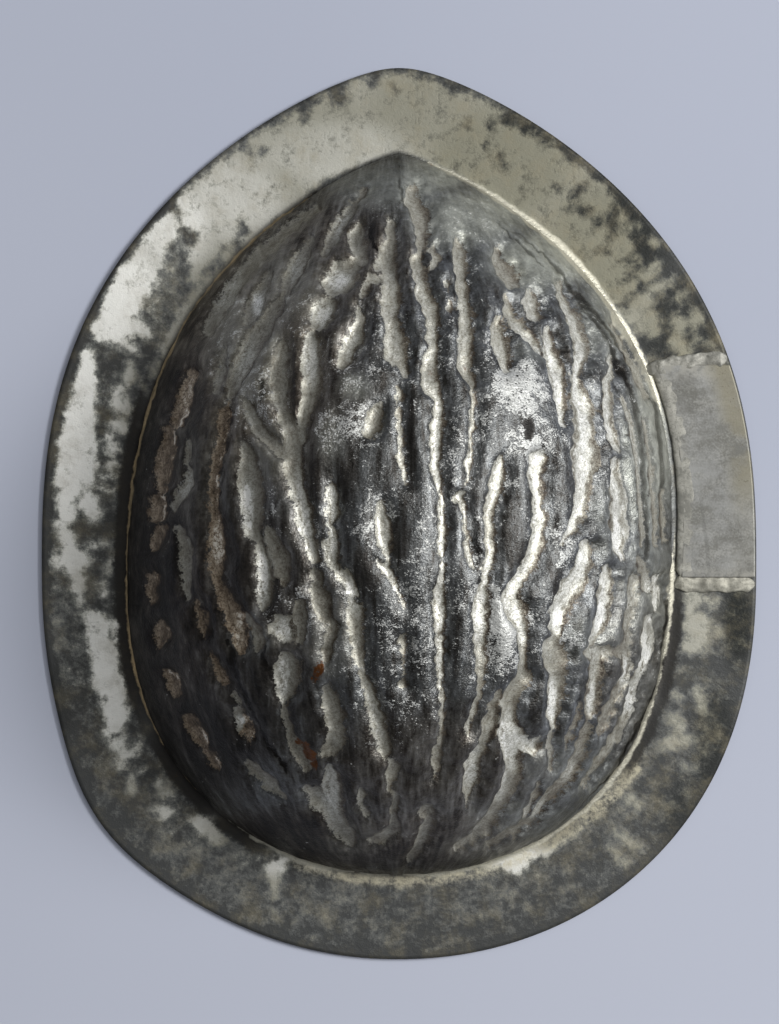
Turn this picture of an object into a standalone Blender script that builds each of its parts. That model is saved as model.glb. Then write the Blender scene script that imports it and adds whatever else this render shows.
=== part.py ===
"""One half of a mould for a hollow chocolate walnut, in pressed tinned sheet.

The half is a nut-shaped bowl with a plain flange all round, pressed in one piece. It lies on its
flange, bowl down, with the furrowed outside up. A tinplate patch is soldered over the flange.
Metres, +Z up. The origin is under the middle of the flange, and +Y points to the nut's tip.
"""

import math

import bmesh
import bpy
import numpy as np

MM = 0.001

# Sheet and bowl
SHEET = 0.6 * MM
BOWL_HEIGHT = 29.5 * MM
BOWL_HALF_WIDTH = 33.75 * MM
BOWL_TIP_Y = 44.8 * MM
BOWL_FOOT_Y = -44.8 * MM
WIDEST_Y = -6.4 * MM
CROWN_Y = -4.0 * MM

# The bowl's side is an arc like a sphere's, from the crown down to this far round
CROWN_ARC = math.radians(69)

# Exponents of the bowl's outline above and below its widest place
TIP_FULLNESS = 2.72
TIP_BLUNTNESS = 0.81
FOOT_FULLNESS = 2.5
FOOT_BLUNTNESS = 0.487

# The bowl leans to one side by this much on its way to the tip
TIP_LEAN = 0.6 * MM

# Flange
FLANGE_WIDTH = 10.9 * MM
FLANGE_SWELL = 1.3 * MM
SWELL_AT = math.radians(-131)
SWELL_SPREAD = math.radians(11)
PRESS_FILLET_REACH = 0.9 * MM
PRESS_FILLET_RISE = 0.35 * MM

# Furrows
FURROW_DEPTH = 1.0 * MM
PLATE_SWELL = 0.35 * MM
PLATE_REACH = 2.2
WALL_SHARE = 0.35
FURROW_FADE_HEIGHT = 1.9 * MM

# Patch and solder
PATCH_THICKNESS = 0.4 * MM
PATCH_LOW_Y = -8.0 * MM
PATCH_HIGH_Y = 18.6 * MM
PATCH_EDGE_INSET = 0.2 * MM
SOLDER_WIDTH = 1.5 * MM
SOLDER_HEIGHT = 0.5 * MM
SOLDER_LUMP = 0.3 * MM
SOLDER_LUMP_PITCH = 3.6 * MM
JOINING_GAP = 0.3 * MM
PLATE_EDGE = 0.08 * MM

# Mesh density, in grid cells across and along the bowl, and in rings on the flange. The grid is
# drawn on a flat square of this side before its places are laid over the bowl.
GRID_SIDE = 2.0
CELLS_ACROSS = 66
CELLS_ALONG = 28
FLANGE_RINGS = 3
OUTLINE_STEPS = 180
EDGE_STEPS = 8

# The furrow plan is drawn in millimetres, as the outside is seen from above the crown, at this
# height over the flange. It was drawn on a bowl of this half width and half length.
PLAN_SEEN_FROM = 280 * MM
PLAN_HALF_WIDTH = 33.75
PLAN_HALF_LENGTH = 44.8

# Each furrow is its width and then the places that it runs through, from the tip downwards
FURROWS = (
    # Crown, running from the tip to the foot
    (1.9, (2.0, 40.0), (3.0, 36.6), (2.3, 32.0), (3.6, 28.2), (4.6, 24.6), (4.6, 21.6), (3.6, 18.2),
     (4.6, 14.9), (4.9, 11.6), (4.3, 7.3), (5.5, 2.5), (5.6, -0.8), (5.5, -7.2)),
    (1.6, (5.1, -7.9), (5.1, -17.5), (5.4, -27.7), (4.4, -34.0)),
    (3.1, (-1.6, 33.6), (-0.9, 28.2), (-0.9, 25.0), (0.4, 18.9)),
    (1.8, (7.6, 33.6), (8.6, 26.6), (8.0, 23.2), (8.6, 17.6), (9.4, 12.2), (8.6, 3.9)),
    (1.6, (-0.3, 15.3), (0.2, 8.5), (0.7, 3.9)),
    (1.8, (-2.3, 0.8), (-2.3, -2.5), (-0.6, -8.3), (0.7, -11.3)),
    (1.8, (-6.0, -11.3), (-5.3, -19.3), (-2.9, -25.9), (-1.6, -30.3)),
    (1.8, (-1.0, -31.9), (-0.5, -34.4), (-0.5, -39.8)),
    (2.2, (3.4, -36.9), (2.1, -41.8)),
    (2.4, (9.0, -30.7), (9.4, -33.3), (8.5, -36.3)),
    # Left of the crown
    (2.2, (-5.3, 35.2), (-5.9, 33.6), (-8.9, 29.1)),
    (3.2, (-9.6, 26.0), (-9.6, 25.2)),
    (2.0, (-5.0, 26.0), (-4.6, 23.6), (-7.6, 18.6)),
    (1.8, (-11.3, 22.9), (-11.0, 16.6), (-13.0, 9.9), (-12.6, 6.5)),
    (1.8, (-15.0, 17.9), (-15.4, 14.9), (-13.1, 9.9)),
    (2.0, (-18.6, 13.5), (-14.6, 7.9), (-13.4, 3.3), (-11.1, -5.9), (-10.0, -11.5)),
    (2.0, (-8.3, 4.2), (-9.0, -0.8)),
    (2.0, (-8.5, -3.2), (-8.6, -5.2), (-5.6, -9.5)),
    (3.4, (-19.5, 8.9), (-19.1, -0.1), (-18.4, -2.5)),
    (2.4, (-17.3, -2.9), (-17.0, -9.3), (-16.6, -11.9)),
    (2.6, (-14.6, -14.2), (-14.5, -14.9)),
    (2.4, (-23.0, 0.2), (-22.8, -6.5), (-20.6, -12.5), (-19.6, -16.9)),
    (3.2, (-14.5, -18.6), (-14.4, -22.6)),
    (2.0, (-10.0, -21.9), (-7.0, -26.7), (-9.6, -30.3)),
    (2.6, (-20.1, -25.4), (-20.1, -26.6)),
    (2.0, (-18.4, -31.7), (-14.6, -35.3)),
    (2.6, (-8.5, -32.3), (-9.8, -38.2), (-5.8, -41.0)),
    # Left wall
    (2.0, (-29.4, 8.3), (-29.4, 3.3)),
    (1.8, (-26.0, 8.9), (-28.0, 0.9)),
    (1.8, (-30.4, 2.5), (-30.4, -4.3)),
    (1.8, (-30.9, -7.2), (-30.6, -12.0)),
    (2.0, (-28.5, -20.0), (-27.3, -23.4)),
    (2.0, (-26.5, -24.6), (-24.0, -30.0)),
    # Right of the crown
    (2.0, (12.0, 33.0), (15.0, 29.0)),
    (2.4, (16.6, 27.4), (17.2, 25.0)),
    (2.0, (12.4, 24.2), (13.6, 18.6)),
    (2.0, (18.8, 23.0), (20.0, 15.6), (20.8, 11.6)),
    (2.8, (20.8, 27.6), (23.4, 20.6), (23.0, 16.6), (24.1, 12.2), (23.8, 3.3), (20.8, -3.9),
     (18.4, -5.9)),
    (1.8, (26.1, 16.9), (27.8, 7.3)),
    (2.2, (12.6, 6.9), (11.4, -0.8), (12.0, -4.5), (10.6, -12.5), (10.4, -22.7), (9.0, -26.9)),
    (2.2, (17.4, 5.9), (18.0, -1.5), (17.8, -4.9), (14.4, -11.3), (15.8, -15.3), (15.0, -18.5)),
    (3.4, (24.1, -3.9), (22.4, -9.9), (20.8, -13.5)),
    (1.8, (27.4, 4.9), (28.1, -5.9)),
    (2.4, (26.8, -7.9), (26.1, -14.3), (24.4, -15.9)),
    (2.2, (19.4, -16.5), (19.5, -25.9), (19.0, -32.0)),
    (2.4, (17.0, -20.3), (14.4, -23.7), (13.6, -26.9), (15.0, -28.9), (17.4, -29.3)),
    (2.2, (25.1, -17.9), (24.1, -25.3)),
    (2.0, (14.4, -30.7), (13.9, -34.2), (12.3, -37.7), (7.1, -42.0)),
    (1.8, (24.0, -26.4), (22.4, -30.5), (17.6, -36.9), (11.3, -42.0)),
    # Right wall
    (1.8, (31.8, -14.9), (31.1, -19.3)),
    (1.8, (29.8, -23.3), (26.4, -29.9), (23.0, -33.7)),
)

TINNED_STEEL = ("tinned_steel", (0.27, 0.27, 0.26, 1.0), 0.42)
PATCH_TINPLATE = ("patch_tinplate", (0.33, 0.33, 0.31, 1.0), 0.55)
SOFT_SOLDER = ("soft_solder", (0.42, 0.41, 0.37, 1.0), 0.5)


def clear_scene():
    for old in list(bpy.data.objects):
        bpy.data.objects.remove(old, do_unlink=True)


def metal(finish):
    """A plain metal material: its name, its colour and its roughness."""
    name, colour, roughness = finish
    material = bpy.data.materials.new(name)
    material.use_nodes = True
    shader = material.node_tree.nodes["Principled BSDF"]
    shader.inputs["Base Color"].default_value = colour
    shader.inputs["Metallic"].default_value = 1.0
    shader.inputs["Roughness"].default_value = roughness
    return material


def bowl_outline(lean):
    """Points of the line where the bowl meets the flange, clockwise from the tip."""
    step = np.sin(np.linspace(0, math.pi / 2, OUTLINE_STEPS))
    tip_half = BOWL_HALF_WIDTH * (1 - step**TIP_FULLNESS) ** TIP_BLUNTNESS
    foot_half = BOWL_HALF_WIDTH * (1 - step**FOOT_FULLNESS) ** FOOT_BLUNTNESS
    tip_y = WIDEST_Y + (BOWL_TIP_Y - WIDEST_Y) * step
    foot_y = WIDEST_Y + (BOWL_FOOT_Y - WIDEST_Y) * step
    half = np.concatenate([tip_half[::-1], foot_half[1:]])
    y = np.concatenate([tip_y[::-1], foot_y[1:]])
    shift = lean * np.sin(math.pi * np.clip((y - WIDEST_Y) / (BOWL_TIP_Y - WIDEST_Y), 0, 1))
    right = np.stack([half + shift, y], axis=1)
    left = np.stack([-half + shift, y], axis=1)[::-1][1:-1]
    return np.concatenate([right, left])


def flange_outline():
    """Points of the flange's cut edge, the same distance outside the bowl all round."""
    line = bowl_outline(0.0)
    along = np.roll(line, -1, axis=0) - np.roll(line, 1, axis=0)
    along /= np.linalg.norm(along, axis=1, keepdims=True)
    outward = np.stack([-along[:, 1], along[:, 0]], axis=1)
    direction = np.arctan2(line[:, 1], line[:, 0])
    swell = FLANGE_SWELL * np.exp(-(((direction - SWELL_AT) / SWELL_SPREAD) ** 2))
    return line + outward * (FLANGE_WIDTH + swell)[:, None]


def radius_table(line):
    """Directions and distances of an outline, as seen from under the crown."""
    offset = line - np.array([0.0, CROWN_Y])
    direction = np.arctan2(offset[:, 1], offset[:, 0])
    order = np.argsort(direction)
    return direction[order], np.linalg.norm(offset, axis=1)[order]


def radius_at(table, direction):
    return np.interp(direction, *table, period=2 * math.pi)


def right_edge(line, y):
    """How far out an outline's right side lies at a place along it."""
    right = line[line[:, 0] > 0]
    order = np.argsort(right[:, 1])
    return np.interp(y, right[order, 1], right[order, 0])


def bowl_height(share):
    """Height of the smooth bowl over the flange, from crown (0) to flange (1)."""
    left_out = math.cos(CROWN_ARC)
    arc = np.cos(np.arcsin(share * math.sin(CROWN_ARC)))
    return BOWL_HEIGHT * (arc - left_out) / (1 - left_out)


def smooth_bowl(across, along):
    """Places on the smooth outside, for grid places from -1 to 1 across and along."""
    x = across * np.sqrt(1 - along**2 / 2)
    y = along * np.sqrt(1 - across**2 / 2)
    half_length = (BOWL_TIP_Y - BOWL_FOOT_Y) / 2
    direction = np.arctan2(y * half_length, x * BOWL_HALF_WIDTH)
    share = np.sin(np.clip(np.hypot(x, y), 0, 1) * CROWN_ARC) / math.sin(CROWN_ARC)
    ellipse = 1 / np.hypot(np.cos(direction) / BOWL_HALF_WIDTH, np.sin(direction) / half_length)
    reach = radius_at(radius_table(bowl_outline(TIP_LEAN)), direction)
    radius = share * (ellipse + (reach - ellipse) * share**2)
    rise = PRESS_FILLET_RISE * np.clip(1 - (1 - share) * reach / PRESS_FILLET_REACH, 0, 1) ** 2
    height = SHEET + bowl_height(share) + rise
    return np.stack(
        [radius * np.cos(direction), CROWN_Y + radius * np.sin(direction), height], axis=-1
    )


def flange_ring(across, along, ring):
    """Places on the flange's top, on one of the rings round the bowl."""
    x = across * np.sqrt(1 - along**2 / 2)
    y = along * np.sqrt(1 - across**2 / 2)
    half_length = (BOWL_TIP_Y - BOWL_FOOT_Y) / 2
    direction = np.arctan2(y * half_length, x * BOWL_HALF_WIDTH)
    inner = radius_at(radius_table(bowl_outline(TIP_LEAN)), direction)
    outer = radius_at(radius_table(flange_outline()), direction)
    fillet_rings = FLANGE_RINGS - 1
    step = np.minimum(ring / fillet_rings, 1)
    radius = np.where(ring > fillet_rings, outer, inner + PRESS_FILLET_REACH * step)
    height = SHEET + PRESS_FILLET_RISE * (1 - step) ** 2
    return np.stack(
        [radius * np.cos(direction), CROWN_Y + radius * np.sin(direction), height], axis=-1
    )


def distance_to_run(places, run):
    """Distance from places on the furrow plan to the nearest point of a furrow's middle line."""
    nearest = np.full(len(places), np.inf)
    for start, end in zip(run[:-1], run[1:]):
        start, way = np.array(start), np.array(end) - np.array(start)
        part = np.clip((places - start) @ way / max(way @ way, 1e-9), 0, 1)
        nearest = np.minimum(nearest, np.linalg.norm(places - start - part[:, None] * way, axis=1))
    return nearest


def furrow_depth(points):
    """How deep the furrows are pressed at places on the smooth outside.

    The plates between the furrows swell a little, the more the further a furrow is.
    """
    seen = PLAN_SEEN_FROM / (PLAN_SEEN_FROM - points[:, 2])
    half_length = (BOWL_TIP_Y - BOWL_FOOT_Y) / 2
    scale = np.array([PLAN_HALF_WIDTH / BOWL_HALF_WIDTH, PLAN_HALF_LENGTH / half_length])
    places = points[:, :2] * seen[:, None] * scale
    pressed = np.zeros(len(points))
    clear = np.full(len(points), np.inf)
    for width, *run in FURROWS:
        distance = distance_to_run(places, run)
        inside = (width / 2 - distance) / (WALL_SHARE * width) + 0.5
        wall = np.clip(inside, 0, 1)
        pressed = np.maximum(pressed, wall * wall * (3 - 2 * wall))
        clear = np.minimum(clear, distance - width / 2)
    swell = np.clip(clear / PLATE_REACH, 0, 1)
    return FURROW_DEPTH * pressed - PLATE_SWELL * swell * (2 - swell) * (1 - pressed)


def outward_normals(across, along):
    """Directions square to the smooth outside, found from two short steps over it."""
    step = 1e-3
    over = smooth_bowl(across * (1 - step) + step, along) - smooth_bowl(across, along)
    up = smooth_bowl(across, along * (1 - step) + step) - smooth_bowl(across, along)
    normal = np.cross(over, up)
    return normal / np.maximum(np.linalg.norm(normal, axis=-1, keepdims=True), 1e-12)


def pressed_shell(collection, material):
    """The bowl and its flange: a grid drawn over both, then given the sheet's thickness."""
    half_across = CELLS_ACROSS // 2
    half_along = CELLS_ALONG // 2
    columns = CELLS_ACROSS + 2 * FLANGE_RINGS
    rows = CELLS_ALONG + 2 * FLANGE_RINGS
    bpy.ops.mesh.primitive_grid_add(
        x_subdivisions=columns, y_subdivisions=rows, size=GRID_SIDE
    )
    shell = bpy.context.object
    shell.name = shell.data.name = "pressed_shell"
    flat = np.array([vertex.co for vertex in shell.data.vertices])
    column = np.round(flat[:, 0] * columns / GRID_SIDE)
    row = np.round(flat[:, 1] * rows / GRID_SIDE)
    ring = np.maximum(np.maximum(abs(column) - half_across, abs(row) - half_along), 0)
    across = column / (half_across + ring)
    along = row / (half_along + ring)
    bowl = smooth_bowl(across, along)
    fade = np.clip((bowl[:, 2] - SHEET) / FURROW_FADE_HEIGHT, 0, 1)
    depth = furrow_depth(bowl) * fade
    places = bowl - outward_normals(across, along) * depth[:, None]
    places = np.where(ring[:, None] > 0, flange_ring(across, along, ring), places)
    for vertex, place in zip(shell.data.vertices, places):
        vertex.co = place
    shell.data.materials.append(material)
    shell.data.shade_smooth()
    shell.data.set_sharp_from_angle(angle=math.radians(50))
    thickness = shell.modifiers.new("sheet", "SOLIDIFY")
    thickness.thickness = SHEET
    thickness.offset = -1.0
    move_to(collection, shell)
    return shell


def move_to(collection, piece):
    for old in list(piece.users_collection):
        old.objects.unlink(piece)
    collection.objects.link(piece)


def flat_piece(name, outline, height, collection, material):
    """A thin flat piece that lies over the flange, with its edges slightly rounded."""
    curve = bpy.data.curves.new(name, "CURVE")
    curve.dimensions = "2D"
    curve.fill_mode = "BOTH"
    spline = curve.splines.new("POLY")
    spline.points.add(len(outline) - 1)
    for point, place in zip(spline.points, outline):
        point.co = (place[0], place[1], 0.0, 1.0)
    spline.use_cyclic_u = True
    curve.extrude = height / 2 - PLATE_EDGE
    curve.bevel_depth = PLATE_EDGE
    curve.bevel_resolution = 0
    curve.offset = -PLATE_EDGE
    curve.materials.append(material)
    piece = bpy.data.objects.new(name, curve)
    piece.location.z = SHEET + JOINING_GAP + height / 2
    collection.objects.link(piece)
    return piece


def patch_sides():
    """The bowl's edge and the flange's edge beside the patch, bottom to top."""
    y = np.linspace(PATCH_LOW_Y, PATCH_HIGH_Y, EDGE_STEPS)
    inner = right_edge(bowl_outline(TIP_LEAN), y) + PRESS_FILLET_REACH + JOINING_GAP
    outer = right_edge(flange_outline(), y) - PATCH_EDGE_INSET
    return y, inner, outer


def flange_patch(collection, material):
    """The tinplate patch, cut to the flange's own curve."""
    y, inner, outer = patch_sides()
    inner = inner + SOLDER_WIDTH + JOINING_GAP
    outline = list(zip(inner, y)) + list(zip(outer, y))[::-1]
    return flat_piece("flange_patch", outline, PATCH_THICKNESS, collection, material)


def inner_solder(collection, material):
    """The solder run between the patch and the bowl."""
    y, inner, _ = patch_sides()
    outline = list(zip(inner, y)) + list(zip(inner + SOLDER_WIDTH, y))[::-1]
    return flat_piece("solder_run_inner", outline, SOLDER_HEIGHT, collection, material)


def cross_solder(name, start_y, way, lump, collection, material):
    """A solder run across the flange, along the patch's top or bottom edge."""
    near = start_y + way * JOINING_GAP
    far = near + way * SOLDER_WIDTH
    inner = right_edge(bowl_outline(TIP_LEAN), (near, far)) + PRESS_FILLET_REACH + JOINING_GAP
    outer = right_edge(flange_outline(), (near, far)) - PATCH_EDGE_INSET
    share = np.linspace(0, 1, EDGE_STEPS)
    near_x = inner[0] + (outer[0] - inner[0]) * share
    far_x = inner[1] + (outer[1] - inner[1]) * share
    wave = lump * np.sin(2 * math.pi * (far_x - far_x[0]) / SOLDER_LUMP_PITCH)
    outline = [(x, near) for x in near_x]
    outline += [(x, far + way * rise) for x, rise in zip(far_x, wave)][::-1]
    return flat_piece(name, outline, SOLDER_HEIGHT, collection, material)


def main():
    clear_scene()
    collection = bpy.data.collections.new("walnut_mould_half")
    bpy.context.scene.collection.children.link(collection)
    steel = metal(TINNED_STEEL)
    tinplate = metal(PATCH_TINPLATE)
    solder = metal(SOFT_SOLDER)
    pressed_shell(collection, steel)
    flange_patch(collection, tinplate)
    inner_solder(collection, solder)
    cross_solder("solder_run_lower", PATCH_LOW_Y, -1, 0.0, collection, solder)
    cross_solder("solder_run_upper", PATCH_HIGH_Y, 1, SOLDER_LUMP, collection, solder)


main()
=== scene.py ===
"""Looks of one half of a mould for a hollow chocolate walnut, in worn tinned sheet.

The pressed shell, the patch on its flange and the three solder runs are modelled afresh over the
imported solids. Metres, +Z up, +Y towards the nut's tip. The camera looks straight down.
"""

import math

import bpy
import numpy as np
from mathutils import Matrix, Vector, noise


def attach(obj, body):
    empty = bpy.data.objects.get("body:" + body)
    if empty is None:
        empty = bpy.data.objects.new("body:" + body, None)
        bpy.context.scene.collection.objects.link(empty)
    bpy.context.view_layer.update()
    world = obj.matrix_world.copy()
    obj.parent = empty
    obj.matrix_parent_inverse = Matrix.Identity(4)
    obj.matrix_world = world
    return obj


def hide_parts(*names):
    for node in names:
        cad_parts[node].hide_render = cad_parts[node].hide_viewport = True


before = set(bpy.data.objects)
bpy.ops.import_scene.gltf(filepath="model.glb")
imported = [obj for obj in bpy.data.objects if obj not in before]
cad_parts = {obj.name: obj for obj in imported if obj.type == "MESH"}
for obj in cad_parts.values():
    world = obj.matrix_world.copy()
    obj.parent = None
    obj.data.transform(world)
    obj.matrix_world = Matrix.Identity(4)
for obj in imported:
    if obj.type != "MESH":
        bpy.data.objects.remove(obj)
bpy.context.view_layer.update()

MM = 0.001

# The photograph: the size of a pixel on the flange, the pixel of the origin, and the camera
PIXEL = 0.125 * MM
ORIGIN_ACROSS, ORIGIN_DOWN = 399.2, 513.75
PHOTO_HEIGHT = 1024
CAMERA_OVER_FLANGE = 280 * MM
CAMERA_X, CAMERA_Y = -1.2 * MM, 0.2 * MM
SENSOR_HEIGHT = 24.0

# Bowl and flange, the same sizes as in the solids
SHEET = 0.6 * MM
BOWL_HEIGHT = 29.5 * MM
BOWL_HALF_WIDTH = 33.75 * MM
BOWL_TIP_Y = 44.8 * MM
BOWL_FOOT_Y = -44.8 * MM
WIDEST_Y = -6.4 * MM
CROWN_Y = -4.0 * MM
CROWN_ARC = math.radians(69)
TIP_FULLNESS = 2.72
TIP_BLUNTNESS = 0.81
FOOT_FULLNESS = 2.5
FOOT_BLUNTNESS = 0.487
TIP_LEAN = 0.6 * MM
FLANGE_WIDTH = 10.9 * MM
FLANGE_SWELL = 1.3 * MM
SWELL_AT = math.radians(-131)
SWELL_SPREAD = math.radians(11)
FILLET_REACH = 0.9 * MM
FILLET_RISE = 0.35 * MM

# The patch, whose gaps are from the bowl's fillet and from the flange's cut edge
PATCH_LOW_Y = -8.0 * MM
PATCH_HIGH_Y = 18.6 * MM
PATCH_TOP = 1.05 * MM
PATCH_THICKNESS = 0.4 * MM
PATCH_INNER_GAP = 0.6 * MM
PATCH_OUTER_GAP = 0.2 * MM
PATCH_WAVE = 0.07 * MM
PATCH_WAVE_SIZE = 5.0 * MM
PATCH_ROUNDING = 0.14 * MM

# Solder runs: they lap over the patch, stop short of the cut edge and have lumps of these
# lengths on the back, along the sides and as ripples. The upper run droops towards the bowl.
SOLDER_WIDTH = 1.5 * MM
SOLDER_LAP = 0.45 * MM
SOLDER_GAP = 0.3 * MM
SOLDER_OUTER_GAP = 0.15 * MM
BESIDE_BOWL_SHIFT = 0.1 * MM
OVER_FILLET = 0.6
UPPER_DROOP, DROOP_BEND = 1.6 * MM, 1.5
LUMP_LENGTHS = (2.2 * MM, 1.5 * MM, 0.9 * MM)
SIDE_LUMPS, RIPPLES = 0.5, 0.6
SIDE_FULLNESS, BACK_FULLNESS = 0.8, 0.45
UNDERSIDE = 0.01 * MM

# How finely the pieces are meshed
GRID_SIDE = 2.0
CELLS_ACROSS = 200
CELLS_ALONG = 250
FILLET_RINGS = 3
FLANGE_RINGS = 24
OUTLINE_STEPS = 360
INSIDE_KEPT = 0.3
FINE_NEAR_EDGE = 1.0 * MM
PATCH_CELLS = (40, 110)
BEAD_SIDES, BEAD_RINGS = 32, 140
LONG_PATH, SHORT_PATH = 40, 30
PATH_STEP = 0.2 * MM

# In photo pixels: how far traced lines wander and over what lengths, and how far off a run is
# felt. In half widths: how far off a furrow's side counts, and where a soft region ends.
WAVER, WAVER_SIZE = 2.2, 9.0
FINE_WAVER, FINE_WAVER_SIZE = 2.6, 6.5
SEAM_WAVER = 1.6
FIELD_REACH = 60.0
FARTHEST_SIDE = 1.5
REGION_EDGE = 1.5

# Furrows are pressed this deep for their width, with walls that start a lip's width outside the
# line. Cream, grey and tan ones have their own share of the depth. Cream and tan ones go on to
# the right past their tin, to a wall in the shade. Widths are in photo pixels.
DEPTH_PER_WIDTH = 0.065 * MM
DEEPEST = 0.85 * MM
DEPTH_SHARES = (1.0, 0.75, 0.85)
USUAL_DEPTH, DEPTH_CHANGE, DEPTH_CHANGE_SIZE = 0.85, 0.35, 22.0
SWELLING, SWELLING_SIZE = 1.2, 12.0
LIP = 1.5
WALL = 4.2
WALL_SHARE, HOLLOW_SHARE = 0.5, 0.6
SHADED_WALL_SHIFT = (5.0, -0.5)
SHADED_WALL_DEPTH = 0.6 * MM
SHADED_WALL_LIP = 1.0
CREASE_DEPTH = 0.22 * MM
CREASE_LIP = 2.2
CREASE_WALL = 3.0

# The plates between the furrows swell to this height at this distance, and carry fine ridges
# from tip to foot over dents of two sizes. All of it fades out at the flange, which has only a
# slow wave.
PLATE_SWELL = 0.5 * MM
PLATE_REACH = 15.0
GRAIN_STRETCH = 0.14
NARROWEST = 16 * MM
WIDE_MIDDLE = 25 * MM
RIDGE = 0.13 * MM
RIDGE_WIDTH = 1.5 * MM
RIDGES_END = 16 * MM
RIDGES_START, RIDGES_GROW = 1.0, 6.0
DENT, DENT_SIZE = 0.1 * MM, 1.9 * MM
PIT, PIT_SIZE = 0.05 * MM, 0.7 * MM
FADE_HEIGHT = 1.2 * MM
FLANGE_WAVE, FLANGE_WAVE_SIZE = 0.03 * MM, 40.0

# Wear and painted light: the tone of cream, grey and tan furrows, where in the photograph the side
# that holds their painted shade changes over, how high the seam with its painted highlight climbs
# the bowl, and how tin and haze cover the flange
FURROW_TONES = (1.0, 0.5, 0.0)
SHADE_TURNS_AT, SHADE_TURNS_OVER = 600, 40
SEAM_CLIMB = 0.7 * MM
TIP_SEAM_CLIMB = 2.8 * MM
TIP_SEAM_FROM, TIP_SEAM_OVER = 560, 80
SEAM_FADE = 1.5 * MM
SEAM_GONE = 10.0
GLOW_REACH = 12.0
HAZE_COVER = 0.34 * MM
BARE_COVER = 0.62 * MM

# Grain of the shell's finish, from large clouds to specks
COARSE_GRAIN = 4.0 * MM
MIDDLING_GRAIN = 1.3 * MM
FINE_GRAIN = 0.42 * MM
GRIT_GRAIN = 0.19 * MM

# Floor and light
FLOOR_SIZE = 12.0
FAR_FLOOR = (0.3, 0.325, 0.38, 1.0)
LAMPS_REACH = 0.7
ROOM_LIGHT = (0.92, 0.95, 1.0, 1.0)
ROOM_STRENGTH = 0.22

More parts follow.
